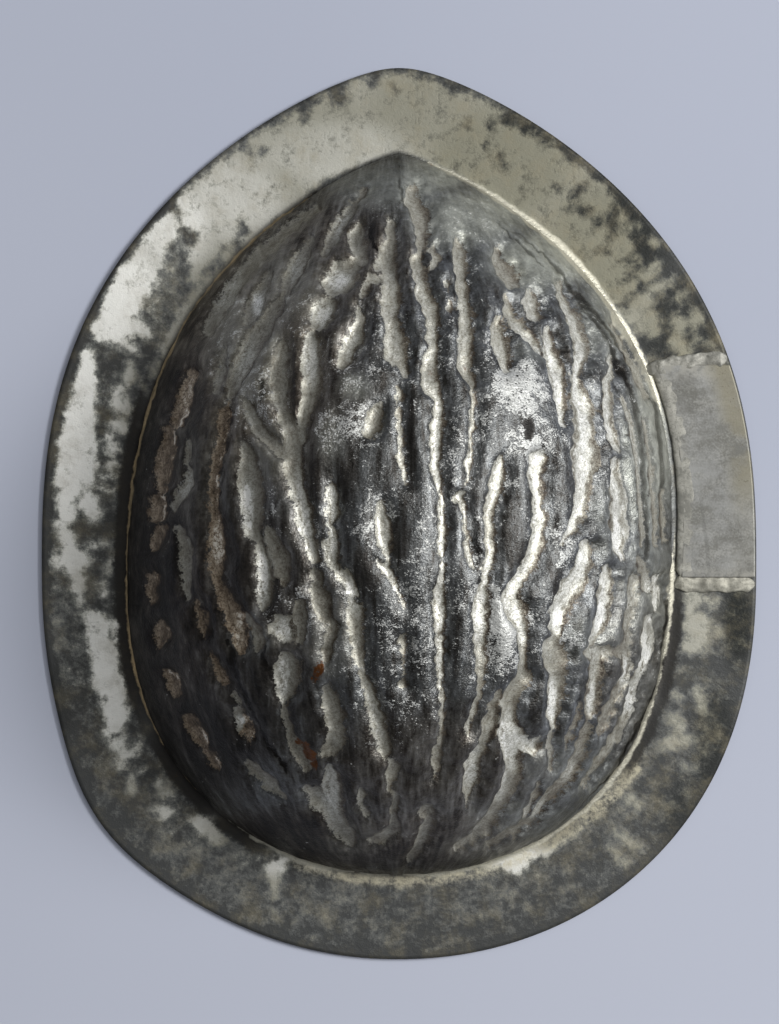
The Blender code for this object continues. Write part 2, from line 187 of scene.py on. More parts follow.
# Every furrow is a run of places in the photograph: across, down, and its width there
CREAM_FURROWS = (
    # The long crown furrow from the tip to the foot
    ((412, 192, 12), (413, 200, 18), (420, 210, 20), (423, 222, 17), (422, 236, 13), (420, 250, 8),
     (418, 258, 12), (419, 267, 18), (421, 280, 16), (424, 292, 16), (431, 306, 17), (433, 320, 16),
     (434, 334, 14), (434, 346, 10), (431, 356, 16), (430, 370, 19), (431, 382, 19), (436, 392, 15),
     (439, 402, 13), (440, 415, 13), (438, 430, 16), (437, 445, 14), (436, 460, 12), (437, 472, 10),
     (439, 484, 6), (441, 496, 6), (443, 506, 7), (443, 518, 9), (443, 530, 10), (443, 542, 9),
     (441, 556, 6), (443, 570, 4), (442, 578, 8), (441, 590, 13), (440, 605, 14), (441, 620, 12),
     (441, 637, 10), (441, 655, 9), (441, 670, 8), (441, 685, 8), (443, 700, 7), (443, 715, 6),
     (441, 730, 6), (440, 745, 8), (438, 757, 11), (437, 768, 10), (434, 780, 3)),
    ((432, 246, 8), (437, 256, 12), (435, 264, 8)),
    ((446, 283, 4), (448, 292, 4)),
    ((450, 303, 5), (450, 312, 5)),
    # Left of the tip
    ((360, 226, 8), (356, 236, 18), (358, 246, 18), (362, 258, 12)),
    ((354, 264, 16), (346, 272, 28), (336, 281, 28), (330, 287, 14)),
    ((391, 222, 9), (391, 238, 11), (388, 250, 18), (386, 262, 22), (390, 274, 15), (392, 288, 19),
     (391, 302, 22), (391, 315, 16), (394, 328, 20), (397, 342, 25), (397, 354, 26), (402, 364, 14),
     (405, 374, 6)),
    ((362, 296, 6), (364, 286, 8), (370, 277, 11), (378, 279, 10)),
    ((318, 318, 20), (322, 311, 24), (328, 304, 18)),
    ((359, 307, 6), (361, 320, 10), (357, 332, 16), (350, 344, 18), (345, 356, 17), (342, 364, 10)),
    ((311, 333, 10), (311, 345, 20), (311, 362, 22), (312, 380, 22), (309, 398, 16), (305, 412, 12),
     (300, 426, 10), (298, 438, 14)),
    ((283, 346, 8), (281, 365, 12), (280, 385, 14), (279, 402, 14), (284, 418, 14), (290, 430, 18),
     (292, 442, 22), (292, 456, 20), (293, 470, 20), (296, 485, 18), (300, 500, 18), (303, 515, 18),
     (307, 532, 16), (311, 548, 12), (314, 560, 10)),
    ((246, 402, 8), (251, 415, 11), (257, 428, 12), (266, 438, 12), (277, 447, 12), (286, 456, 12)),
    # Left of the crown
    ((243, 444, 8), (246, 458, 16), (248, 473, 22), (250, 490, 24), (251, 505, 22), (251, 520, 22),
     (252, 533, 14), (257, 543, 8), (262, 562, 12), (263, 576, 16), (263, 590, 16), (263, 603, 13),
     (262, 612, 5)),
    ((273, 627, 12), (281, 627, 24), (286, 633, 20)),
    ((287, 658, 14), (286, 668, 26), (286, 680, 27), (285, 692, 20), (283, 703, 8)),
    ((380, 402, 8), (376, 412, 14), (373, 423, 17), (369, 432, 12)),
    ((395, 385, 6), (399, 394, 7), (399, 408, 6), (399, 420, 6), (401, 432, 8), (401, 447, 7),
     (402, 460, 8), (405, 472, 9), (406, 482, 7)),
    ((330, 478, 4), (331, 488, 11), (332, 500, 15), (332, 512, 14), (330, 523, 7)),
    ((381, 503, 7), (381, 513, 12), (384, 526, 19), (384, 538, 16), (386, 550, 12), (388, 560, 5)),
    ((378, 561, 4), (386, 568, 9), (391, 576, 8), (395, 585, 5), (400, 596, 4), (405, 607, 5)),
    ((334, 532, 8), (331, 544, 16), (330, 556, 17), (333, 567, 10)),
    ((336, 574, 6), (345, 576, 14), (350, 585, 14), (356, 594, 7)),
    ((352, 602, 10), (355, 612, 20), (356, 628, 18), (357, 642, 14), (359, 655, 12), (361, 668, 6),
     (363, 678, 7), (368, 689, 12), (372, 702, 14), (374, 713, 14), (378, 724, 16), (381, 736, 16),
     (384, 748, 14), (386, 757, 7)),
    ((403, 638, 8), (403, 648, 9), (402, 657, 4), (403, 668, 3), (404, 679, 3), (402, 687, 8)),
    # Lower left
    ((325, 690, 10), (330, 702, 18), (334, 715, 18), (336, 729, 17), (337, 742, 18), (330, 750, 14),
     (322, 754, 8)),
    ((330, 770, 10), (331, 783, 19), (332, 796, 22), (332, 808, 24), (335, 820, 18), (343, 832, 17),
     (352, 842, 10)),
    ((306, 788, 8), (315, 799, 14), (324, 809, 16)),
    ((393, 764, 9), (394, 773, 15), (391, 782, 11), (390, 790, 5)),
    ((362, 793, 8), (361, 804, 7), (364, 811, 5), (368, 817, 5)),
    ((237, 711, 8), (238, 720, 10), (240, 728, 8)),
    ((309, 762, 4), (310, 768, 5)),
    # Right of the crown
    ((458, 240, 7), (461, 252, 16), (462, 266, 15), (463, 282, 13), (465, 298, 13), (467, 312, 15),
     (468, 325, 16), (467, 338, 18), (466, 350, 16), (466, 362, 18), (469, 372, 15), (472, 381, 8),
     (473, 389, 4), (474, 397, 6), (473, 412, 6), (473, 427, 7), (472, 441, 7), (471, 456, 7),
     (469, 470, 5), (468, 483, 4)),
    ((454, 499, 5), (461, 497, 13), (464, 508, 8), (466, 520, 6), (467, 534, 6), (468, 548, 7),
     (471, 558, 8), (474, 568, 5)),
    ((497, 250, 8), (500, 260, 14), (506, 270, 19), (513, 279, 18), (519, 284, 8)),
    ((530, 293, 10), (533, 303, 19), (537, 313, 16)),
    ((507, 299, 7), (511, 311, 14), (519, 322, 16), (529, 333, 15), (537, 345, 12), (541, 353, 5)),
    ((498, 320, 10), (500, 332, 20), (503, 345, 20), (506, 357, 15), (507, 368, 10)),
    ((549, 329, 8), (550, 340, 14), (554, 353, 15), (558, 367, 19), (560, 380, 19), (562, 395, 14),
     (564, 410, 13), (564, 422, 8)),
    ((559, 284, 6), (565, 298, 12), (572, 312, 15), (578, 326, 16), (583, 340, 18), (584, 352, 19),
     (580, 364, 13), (579, 378, 11), (581, 390, 18), (586, 404, 23), (587, 420, 23), (587, 436, 24),
     (588, 450, 32), (588, 464, 31), (586, 478, 22), (584, 492, 18), (584, 505, 18), (580, 515, 18),
     (575, 526, 12), (568, 535, 7), (562, 545, 5)),
    ((611, 360, 8), (612, 372, 9), (609, 383, 11), (610, 396, 12), (610, 410, 12), (611, 424, 13),
     (616, 437, 14), (619, 449, 8)),
    ((617, 462, 10), (618, 478, 16), (620, 495, 19), (621, 512, 21), (622, 530, 21), (621, 545, 17),
     (624, 558, 7)),
    ((501, 456, 7), (501, 466, 15), (500, 478, 18), (497, 492, 16), (492, 506, 14), (490, 520, 13),
     (491, 535, 12), (492, 550, 11), (491, 562, 11), (488, 573, 10), (486, 583, 12), (484, 595, 16),
     (482, 610, 20), (482, 625, 17), (482, 640, 15), (483, 655, 15), (483, 669, 12), (482, 683, 8),
     (479, 697, 7), (475, 710, 7), (471, 722, 7), (468, 734, 5)),
    ((540, 461, 22), (537, 474, 18), (540, 490, 15), (541, 505, 15), (542, 520, 17), (541, 535, 18),
     (537, 550, 18), (532, 563, 17), (525, 575, 17), (517, 587, 18), (513, 599, 22), (518, 612, 26),
     (524, 625, 17), (525, 640, 10), (524, 655, 9), (523, 668, 10), (527, 680, 17), (518, 690, 18),
     (512, 702, 20), (511, 716, 20), (512, 730, 24), (513, 744, 24), (516, 757, 20), (515, 770, 20),
     (513, 782, 19), (508, 794, 17), (501, 806, 15), (493, 819, 16), (483, 831, 16), (471, 840, 12),
     (458, 848, 8)),
    ((512, 735, 26), (520, 744, 22), (529, 748, 17), (536, 746, 13), (540, 739, 8)),
    ((588, 546, 14), (586, 560, 20), (583, 574, 22), (575, 588, 26), (567, 601, 24), (561, 614, 21),
     (559, 627, 18), (561, 636, 9)),
    ((608, 569, 11), (609, 582, 18), (608, 597, 19), (606, 611, 19), (603, 624, 18), (598, 635, 11),
     (592, 645, 9), (588, 654, 6)),
    ((657, 578, 6), (659, 590, 10), (658, 602, 10), (656, 611, 5)),
    ((650, 619, 9), (650, 635, 16), (650, 650, 15), (646, 663, 12), (640, 677, 10), (635, 690, 13),
     (633, 703, 14), (630, 715, 13), (624, 727, 12), (616, 740, 12), (608, 752, 12), (600, 764, 11),
     (592, 775, 9), (584, 786, 6)),
    ((555, 647, 22), (557, 660, 26), (559, 672, 19), (559, 686, 19), (557, 700, 17), (555, 714, 15),
     (554, 726, 9)),
    ((552, 734, 6), (551, 745, 7), (553, 757, 8), (551, 770, 4)),
    ((484, 745, 10), (478, 757, 12), (474, 768, 18), (473, 779, 20), (470, 790, 13), (467, 800, 7),
     (465, 808, 3)),
)
GREY_FURROWS = (
    ((366, 190, 4), (354, 204, 10), (343, 219, 14), (332, 238, 13), (324, 252, 7)),
    ((312, 240, 7), (303, 254, 14), (294, 272, 18), (286, 290, 11)),
    ((270, 276, 6), (262, 290, 13), (254, 306, 17), (248, 322, 9)),
    ((284, 296, 6), (272, 314, 15), (258, 336, 20), (244, 360, 20), (234, 382, 15), (230, 398, 8)),
    ((282, 344, 7), (280, 362, 15), (277, 382, 15), (275, 398, 8)),
    ((226, 350, 5), (221, 368, 10), (217, 390, 8)),
    ((316, 572, 12), (317, 590, 16), (322, 603, 20), (325, 616, 14)),
    ((300, 606, 14), (300, 622, 16), (300, 640, 10)),
    ((333, 625, 12), (329, 642, 12), (326, 657, 10)),
    ((268, 530, 10), (273, 545, 18), (279, 560, 22), (283, 572, 18), (284, 582, 8)),
    ((245, 618, 8), (254, 629, 12), (261, 641, 12), (256, 650, 8)),
    ((190, 443, 6), (187, 458, 7), (190, 470, 6), (187, 484, 12), (181, 495, 12), (173, 509, 6)),
    ((178, 528, 7), (185, 542, 12), (185, 558, 14), (186, 575, 12), (186, 590, 9), (187, 599, 6)),
    ((284, 708, 6), (287, 720, 8), (290, 735, 9), (297, 748, 14), (303, 760, 12), (306, 770, 8)),
    ((396, 796, 6), (395, 808, 9), (394, 820, 8), (394, 831, 15), (385, 839, 11), (372, 842, 8)),
    ((423, 812, 9), (429, 812, 14), (434, 813, 8)),
    ((429, 818, 13), (428, 828, 13), (424, 840, 13), (419, 850, 12), (411, 858, 7)),
    ((635, 578, 10), (634, 590, 12), (632, 603, 11), (631, 615, 10), (628, 626, 7), (628, 640, 7),
     (626, 652, 10), (628, 664, 9), (627, 676, 9), (621, 687, 9), (616, 698, 10), (610, 710, 13),
     (605, 721, 13), (600, 732, 7)),
    ((592, 655, 10), (606, 652, 13), (622, 653, 10)),
    ((600, 654, 16), (598, 668, 16), (596, 684, 15), (594, 700, 16), (592, 714, 12)),
    ((579, 702, 3), (577, 716, 4), (572, 730, 5), (568, 741, 5), (566, 749, 3)),
    ((589, 725, 8), (585, 738, 12), (581, 752, 12), (577, 764, 12), (569, 776, 14), (559, 787, 13),
     (550, 797, 12), (543, 806, 10), (536, 816, 8), (526, 824, 9), (514, 832, 9), (501, 838, 8),
     (489, 845, 6)),
    ((540, 784, 5), (537, 795, 8), (531, 806, 7), (525, 816, 4)),
    ((500, 694, 8), (495, 708, 12), (491, 724, 15), (487, 738, 13), (483, 750, 11)),
    ((612, 325, 3), (622, 345, 5), (632, 365, 6), (640, 382, 7), (646, 396, 7)),
    ((622, 398, 4), (629, 415, 5), (634, 440, 5), (637, 465, 4), (640, 490, 5), (641, 510, 5),
     (643, 530, 6), (642, 545, 4)),
    ((643, 420, 3), (647, 440, 4), (650, 465, 4), (652, 490, 4), (655, 520, 4), (655, 545, 4)),
    ((662, 490, 4), (663, 515, 5), (664, 540, 5)),
    ((640, 560, 8), (645, 575, 10), (648, 590, 8)),
    ((318, 208, 4), (300, 220, 10), (280, 236, 13), (262, 252, 14), (245, 270, 14), (232, 288, 15),
     (220, 308, 16), (208, 330, 12)),
    ((247, 762, 6), (254, 770, 12), (264, 779, 14), (274, 788, 10), (285, 798, 5)),
    ((234, 691, 3), (240, 703, 5)),
)
TAN_PITS = (
    ((192, 372, 10), (186, 390, 14), (181, 408, 14), (175, 424, 10)),
    ((168, 430, 10), (167, 445, 16), (165, 460, 18), (162, 476, 16), (160, 490, 8)),
    ((228, 402, 5), (224, 415, 10), (222, 430, 9), (220, 445, 10), (216, 460, 9), (213, 478, 9),
     (212, 497, 9), (213, 512, 10), (215, 526, 14), (217, 540, 18), (217, 553, 20), (215, 566, 18),
     (217, 578, 12), (221, 590, 14), (227, 602, 18), (233, 616, 20), (238, 630, 20), (240, 643, 16),
     (241, 652, 8)),
    ((198, 602, 5), (200, 615, 10), (203, 628, 9), (205, 637, 5)),
    ((157, 499, 12), (156, 510, 18), (156, 517, 12)),
    ((162, 528, 8), (157, 538, 14), (153, 546, 12)),
    ((152, 576, 8), (151, 588, 11), (152, 601, 8)),
    ((160, 625, 10), (161, 635, 15), (160, 642, 10)),
    ((166, 673, 8), (172, 684, 14), (178, 696, 8)),
    ((187, 717, 8), (193, 727, 14), (199, 738, 12), (204, 747, 5)),
    ((206, 750, 6), (211, 759, 10), (217, 768, 6)),
    ((211, 654, 4), (216, 667, 9), (222, 680, 10), (228, 684, 5)),
    ((241, 722, 14), (246, 732, 14), (250, 739, 7)),
)

# Thin dark creases between the plates, mostly along the rim, their darkness painted shade. A
# negative width makes a crease fainter, down to nothing at its ends.
CREASES = (
    ((468, 206, -4), (490, 222, -1), (510, 238, 1), (530, 256, 2), (552, 280, -3)),
    ((490, 216, -4), (524, 243, 0), (556, 270, 2), (590, 310, 3), (612, 338, 3), (634, 370, 3),
     (650, 398, 2)),
    ((398, 156, -2), (399, 176, 1), (401, 200, 2), (397, 216, -2)),
    ((372, 222, -3), (370, 234, 3), (375, 246, 3), (380, 256, -2)),
    ((440, 176, -4), (462, 186, -1), (486, 204, -1), (506, 220, -4)),
    ((340, 176, -4), (318, 192, 1), (296, 208, 1), (272, 230, -4)),
    ((262, 372, -2), (264, 386, 3), (262, 402, 2), (268, 416, -2)),
    ((580, 303, 2), (600, 330, 2), (616, 358, 3), (628, 388, 3), (637, 413, 2)),
    ((628, 387, 2), (640, 433, 3), (643, 470, 3), (647, 540, 3), (646, 560, 2)),
    ((652, 400, 2), (658, 440, 3), (661, 480, 3), (661, 537, 2)),
    ((667, 600, 1), (662, 667, 2), (647, 710, 2), (613, 773, 1), (563, 817, -2), (513, 843, -4)),
    ((600, 778, -4), (566, 802, -1), (530, 822, -2), (495, 839, -4)),
    ((330, 196, -4), (290, 226, 2), (254, 258, 3), (226, 292, 2), (208, 318, -2)),
    ((278, 700, 2), (266, 660, 3), (262, 640, 2)),
    ((228, 640, 2), (240, 680, 3), (262, 730, 3), (290, 770, 2)),
)

# Places on the flange that still hold tin, and bare places inside them, drawn the same way
FLANGE_TIN = (
    ((166, 350, 8), (180, 325, 12), (196, 300, 14), (212, 278, 18), (236, 250, 20), (262, 226, 24),
     (300, 200, 26)),
    ((228, 196, 104), (300, 130, 110), (400, 105, 100), (480, 130, 105), (545, 180, 90),
     (590, 230, 74), (622, 285, 50), (648, 320, 34)),
    ((205, 240, 44), (202, 262, 30), (197, 276, 18)),
    ((205, 286, 14), (198, 303, 9), (188, 319, 8), (178, 335, 9), (171, 347, 9)),
    ((165, 226, 26), (156, 240, 34), (146, 258, 38), (134, 276, 40), (125, 294, 40),
     (117, 310, 40)),
    ((104, 330, 28), (118, 330, 32), (136, 326, 18), (148, 335, 8)),
    ((124, 343, 16), (133, 349, 10)),
    ((87, 353, 15), (88, 372, 18), (84, 388, 27), (82, 406, 30), (80, 425, 35), (78, 443, 40),
     (79, 460, 38), (74, 474, 44)),
    ((71, 488, 24), (64, 503, 18), (68, 513, 22)),
    ((88, 490, 12), (90, 504, 20), (94, 513, 20)),
    ((60, 526, 14), (70, 543, 12), (72, 556, 24), (76, 574, 16), (79, 590, 12), (80, 602, 7)),
    ((56, 561, 14), (84, 560, 14)),
    ((86, 547, 7), (100, 545, 7), (112, 546, 7)),
    ((112, 560, 8), (107, 570, 11)), ((105, 583, 7), (105, 594, 6)),
    ((130, 366, 12), (131, 374, 12), (127, 385, 8)),
    ((118, 393, 15), (120, 403, 20), (128, 409, 14)),
    ((145, 388, 10), (146, 392, 9)), ((114, 423, 11), (122, 426, 15)),
    ((108, 438, 11), (112, 449, 13)), ((112, 465, 9), (117, 464, 5)),
    ((104, 478, 5), (113, 476, 11)), ((104, 489, 5), (116, 492, 5)),
    ((155, 366, 11), (151, 377, 7)), ((165, 349, 13), (167, 355, 11)),
    ((143, 424, 7), (138, 423, 5)),
    ((90, 618, 14), (98, 627, 22), (100, 641, 22), (104, 655, 28), (106, 670, 30), (111, 685, 32),
     (116, 694, 24)),
    ((115, 627, 10), (116, 640, 8)), ((52, 622, 6), (57, 622, 8)),
    ((112, 704, 22), (117, 715, 26), (112, 728, 18)),
    ((117, 745, 18), (125, 755, 15), (135, 750, 11)), ((127, 765, 8), (118, 768, 7)),
    ((133, 776, 7), (132, 789, 9)), ((145, 769, 5), (140, 773, 5)),
    ((159, 784, 9), (163, 792, 14), (170, 798, 8)),
    ((153, 809, 9), (163, 813, 15), (170, 812, 12)),
    ((196, 820, 9), (207, 825, 19), (214, 835, 17), (218, 841, 7)),
    ((240, 828, 5), (262, 840, 7), (283, 850, 9), (300, 857, 9), (320, 863, 8), (341, 868, 8)),
    ((285, 859, 12), (273, 868, 15), (275, 881, 11), (276, 894, 7)),
    ((367, 874, 5), (379, 875, 6)),
    ((419, 873, 6), (440, 871, 9), (460, 868, 10), (480, 864, 12), (500, 859, 15), (516, 862, 20),
     (519, 872, 9)),
    ((533, 851, 16), (549, 848, 13), (566, 838, 9), (585, 822, 6)),
    ((632, 799, 8), (638, 807, 9)), ((610, 846, 6), (618, 856, 9), (626, 864, 6)),
    ((617, 833, 7), (628, 841, 9), (641, 849, 5)),
    ((688, 585, 14), (693, 598, 18), (691, 610, 12)),
    ((697, 624, 26), (695, 640, 26), (690, 648, 14)), ((712, 604, 11), (706, 600, 8)),
    ((718, 632, 8), (720, 636, 6)), ((697, 690, 9), (700, 700, 10), (704, 712, 6)),
    ((674, 694, 9), (678, 698, 7)), ((676, 719, 11), (681, 727, 11)),
    ((667, 744, 13), (680, 742, 12), (693, 740, 6)), ((684, 768, 6), (694, 770, 7)),
    # Bands among the dark streaks at the upper right
    ((626, 272, 9), (636, 262, 10)), ((628, 291, 12), (645, 276, 13), (657, 264, 9)),
    ((641, 306, 14), (652, 294, 15), (668, 281, 10)), ((660, 242, 14), (652, 238, 8)),
    ((652, 222, 9), (640, 226, 8)), ((600, 186, 22), (604, 200, 16), (596, 212, 10)),
    ((620, 235, 16), (628, 228, 9)), ((652, 318, 20), (655, 330, 16), (650, 334, 12)),
    ((680, 296, 8), (690, 292, 6)), ((690, 312, 18), (680, 326, 18), (700, 318, 14)),
    ((678, 343, 16), (688, 355, 14), (696, 340, 8), (712, 345, 8)),
    ((720, 350, 14), (722, 362, 16)),
    ((668, 372, 10), (690, 366, 12)),
)
FLANGE_BARE = (
    ((188, 239, 18), (185, 234, 12)), ((171, 249, 7), (176, 246, 5)),
    ((172, 268, 9), (175, 279, 11)),
    ((245, 231, 9), (243, 222, 4)), ((237, 245, 5), (236, 249, 5)), ((211, 271, 9), (218, 266, 8)),
    ((247, 146, 9), (251, 153, 5)), ((262, 151, 7), (264, 149, 4)), ((306, 113, 8), (302, 122, 4)),
    ((344, 97, 12), (334, 98, 8)), ((372, 84, 7), (376, 78, 9)), ((397, 90, 4), (392, 84, 3)),
    ((468, 122, 6), (468, 128, 3)), ((491, 127, 4), (493, 122, 3)), ((485, 145, 3), (487, 151, 3)),
    ((501, 158, 3), (502, 163, 5)), ((462, 90, 8), (450, 86, 6)),
    ((505, 117, 9), (517, 124, 9), (532, 132, 9), (545, 138, 5)),
    ((562, 146, 7), (572, 156, 11), (578, 162, 8)), ((555, 186, 4), (556, 188, 4)),
    ((573, 197, 5), (579, 190, 5), (588, 182, 3)), ((568, 210, 3), (570, 212, 3)),
    ((584, 211, 12), (590, 211, 9)), ((600, 222, 9), (597, 230, 5)), ((598, 250, 3), (607, 252, 4)),
    ((616, 206, 9), (612, 220, 14), (611, 236, 8)), ((640, 246, 14), (640, 256, 11)),
    ((622, 263, 6), (629, 259, 5)), ((628, 278, 5), (640, 266, 5)), ((634, 295, 5), (650, 283, 6)),
    ((618, 306, 6), (626, 303, 4)), ((658, 298, 9), (664, 314, 14), (667, 330, 9)),
    ((652, 348, 13), (664, 352, 18), (658, 366, 13)), ((701, 353, 18), (697, 360, 10)),
    ((688, 332, 7), (691, 331, 5)), ((704, 332, 8), (708, 328, 5)), ((684, 312, 7), (686, 305, 5)),
)

# The line between bowl and flange, where tin or rust-brown grime is left, with a painted
# highlight where the fillet catches the lamp
CREAM_SEAM_AND_HIGHLIGHT = (
    ((430, 165, 6), (480, 190, 9), (520, 217, 11), (557, 245, 13), (580, 270, 13), (610, 310, 12),
     (630, 340, 11), (648, 375, 10), (657, 400, 6)),
    ((657, 400, 3), (663, 416, -1), (669, 450, -2), (674, 490, -2), (675, 530, -1), (674, 560, 2)),
    ((672, 555, 5), (672, 580, 6), (669, 620, 5), (666, 640, 5), (659, 675, 4), (650, 705, 5),
     (641, 730, 6), (628, 757, 7), (606, 786, 9), (577, 813, 10), (542, 838, 10), (512, 852, 10),
     (482, 863, 8), (466, 866, 4)),
    ((478, 864, 4), (460, 868, 8), (440, 871, 8), (418, 874, 7), (405, 874, 4)),
    ((388, 874, 3), (373, 873, 5), (362, 872, 4)),
    ((352, 870, 3), (338, 868, 7), (320, 864, 9), (300, 858, 10), (280, 849, 9), (260, 838, 8),
     (240, 826, 6), (226, 815, 2)),
)
TAN_SEAM_AND_HIGHLIGHT = (
    ((312, 196, 1), (280, 219, 3), (256, 239, 3), (236, 259, 4), (218, 279, 4), (203, 299, 4),
     (189, 319, 4), (179, 338, 5)),
    ((179, 340, 5), (160, 380, 6), (150, 415, 6), (143, 440, 6), (137, 465, 6), (134, 490, 6),
     (131, 520, 6), (130, 548, 6), (129, 595, 6), (130, 608, 7), (132, 625, 8), (133, 640, 9),
     (136, 660, 9), (141, 680, 9), (147, 701, 8), (156, 723, 7), (166, 743, 6), (188, 775, 4),
     (204, 794, 2)),
)

# Cream tin and a painted glow of reflected light, fading out over the flange below the bowl's foot
FOOT_GLOW = (
    ((300, 862, 5), (330, 869, 6), (360, 876, 5), (400, 879, 4), (440, 876, 7), (480, 867, 9),
     (520, 855, 10), (560, 835, 9), (600, 806, 7), (635, 770, 4)),
)

# Soft regions: middle across and down, half width and half height, and strength. First come
# plates rubbed bright with a painted highlight where the lamp reflects, pale plates and browner
# plates, then grime with painted shade, and brighter tin with painted highlights, on the bowl.
# Plates rubbed bright, strongest where the lamp's reflection falls as a painted highlight
BURNISHED_AND_HIGHLIT = (
    (440, 520, 120, 150, 0.32), (380, 640, 70, 110, 0.34), (420, 350, 110, 60, 0.3),
    (590, 450, 60, 160, 0.3), (520, 395, 30, 34, 0.8), (530, 440, 26, 24, 0.85),
    (516, 392, 24, 24, 1.0), (524, 440, 24, 18, 0.9), (488, 420, 10, 48, 0.5),
    (503, 385, 16, 16, 1.0), (505, 618, 30, 22, 1.3), (480, 592, 22, 10, 0.8),
    (526, 500, 6, 36, 0.3), (457, 425, 6, 60, 0.5), (428, 530, 16, 34, 0.55),
    (426, 600, 12, 60, 0.45), (480, 520, 6, 52, 0.5), (562, 552, 13, 44, 0.6),
    (545, 590, 12, 30, 0.5), (600, 470, 12, 40, 0.5), (355, 425, 24, 24, 0.7),
    (332, 430, 16, 28, 0.6), (370, 470, 18, 40, 0.5), (400, 600, 26, 36, 0.5),
    (386, 636, 14, 26, 0.5), (500, 640, 26, 40, 0.7), (474, 560, 14, 20, 0.6),
    (322, 520, 12, 70, 0.45), (290, 600, 22, 20, 0.45), (275, 615, 14, 14, 0.5),
    (350, 555, 20, 60, 0.22), (345, 690, 24, 40, 0.25), (410, 700, 34, 40, 0.35),
    (560, 440, 14, 20, 0.45), (590, 500, 14, 22, 0.5), (372, 370, 24, 18, 0.5),
    (465, 660, 18, 40, 0.4), (270, 520, 16, 50, 0.35), (545, 650, 12, 14, 0.5),
    (570, 640, 16, 12, 0.5), (490, 345, 10, 40, 0.45), (470, 270, 8, 30, 0.3),
    (262, 392, 44, 46, 0.42), (236, 345, 34, 50, 0.34), (300, 330, 30, 40, 0.3),
    (345, 372, 30, 30, 0.4), (385, 230, 40, 30, 0.26), (470, 230, 40, 24, 0.26),
    (545, 300, 26, 30, 0.32), (412, 420, 8, 60, 0.35), (350, 320, 10, 16, 0.3),
    (380, 520, 24, 46, 0.5), (455, 590, 18, 36, 0.5), (420, 640, 18, 50, 0.48),
    (365, 440, 26, 40, 0.5), (300, 620, 20, 24, 0.45), (570, 590, 14, 30, 0.5),
)
PALE_PLATES = (
    (470, 220, 60, 28, 1.0), (385, 190, 46, 20, 0.7), (430, 180, 34, 20, 0.9),
    (540, 262, 54, 28, 1.1), (605, 320, 30, 40, 0.7), (250, 350, 40, 60, 0.6),
    (285, 290, 40, 40, 0.45), (355, 388, 14, 14, 0.7), (332, 437, 14, 24, 0.5),
    (535, 350, 20, 14, 0.5), (560, 770, 40, 30, 0.42), (530, 820, 56, 22, 0.5),
    (596, 770, 30, 30, 0.4), (350, 838, 30, 16, 0.35), (480, 846, 40, 12, 0.4),
    (606, 520, 12, 40, 0.4), (648, 450, 24, 90, 0.95), (645, 590, 24, 60, 0.6),
    (640, 700, 30, 50, 0.3), (200, 470, 30, 60, 0.2), (270, 450, 20, 30, 0.5),
    (330, 640, 24, 40, 0.35), (255, 640, 24, 16, 0.4), (600, 640, 40, 24, 0.4),
)
WARM_PLATES = (
    (250, 360, 100, 130, 1.0), (330, 260, 80, 60, 0.8), (170, 560, 60, 200, 0.7),
    (300, 620, 50, 60, 0.5), (640, 680, 40, 90, 0.4), (300, 840, 110, 30, 0.8),
    (430, 835, 90, 30, 0.8), (270, 560, 50, 60, 0.5), (430, 770, 110, 60, 0.6),
    (200, 700, 60, 80, 0.4),
)
# Grime, and painted shade on the bowl's shaded wall, in hollows and beside furrows
GRIME_AND_SHADE = (
    (152, 560, 40, 200, 1.0), (195, 745, 60, 60, 1.0), (175, 430, 40, 90, 0.7),
    (290, 835, 80, 26, 0.9), (400, 852, 60, 16, 0.5), (240, 700, 60, 70, 0.7),
    (220, 600, 60, 110, 0.55), (330, 760, 60, 60, 0.35), (190, 350, 30, 50, 0.4),
    (303, 705, 3, 6, 1.2), (311, 713, 3, 6, 1.0), (298, 730, 3, 6, 1.0), (385, 470, 12, 24, 0.5),
    (514, 545, 10, 28, 0.5), (411, 440, 4, 44, 1.0), (350, 480, 12, 26, 0.6),
    (362, 575, 12, 24, 0.8), (400, 540, 9, 24, 0.9), (312, 720, 12, 28, 0.6),
    (295, 385, 6, 40, 1.0), (318, 480, 9, 30, 0.6), (375, 232, 7, 8, 1.0), (558, 600, 10, 30, 0.3),
    (527, 430, 5, 11, 1.2),
)
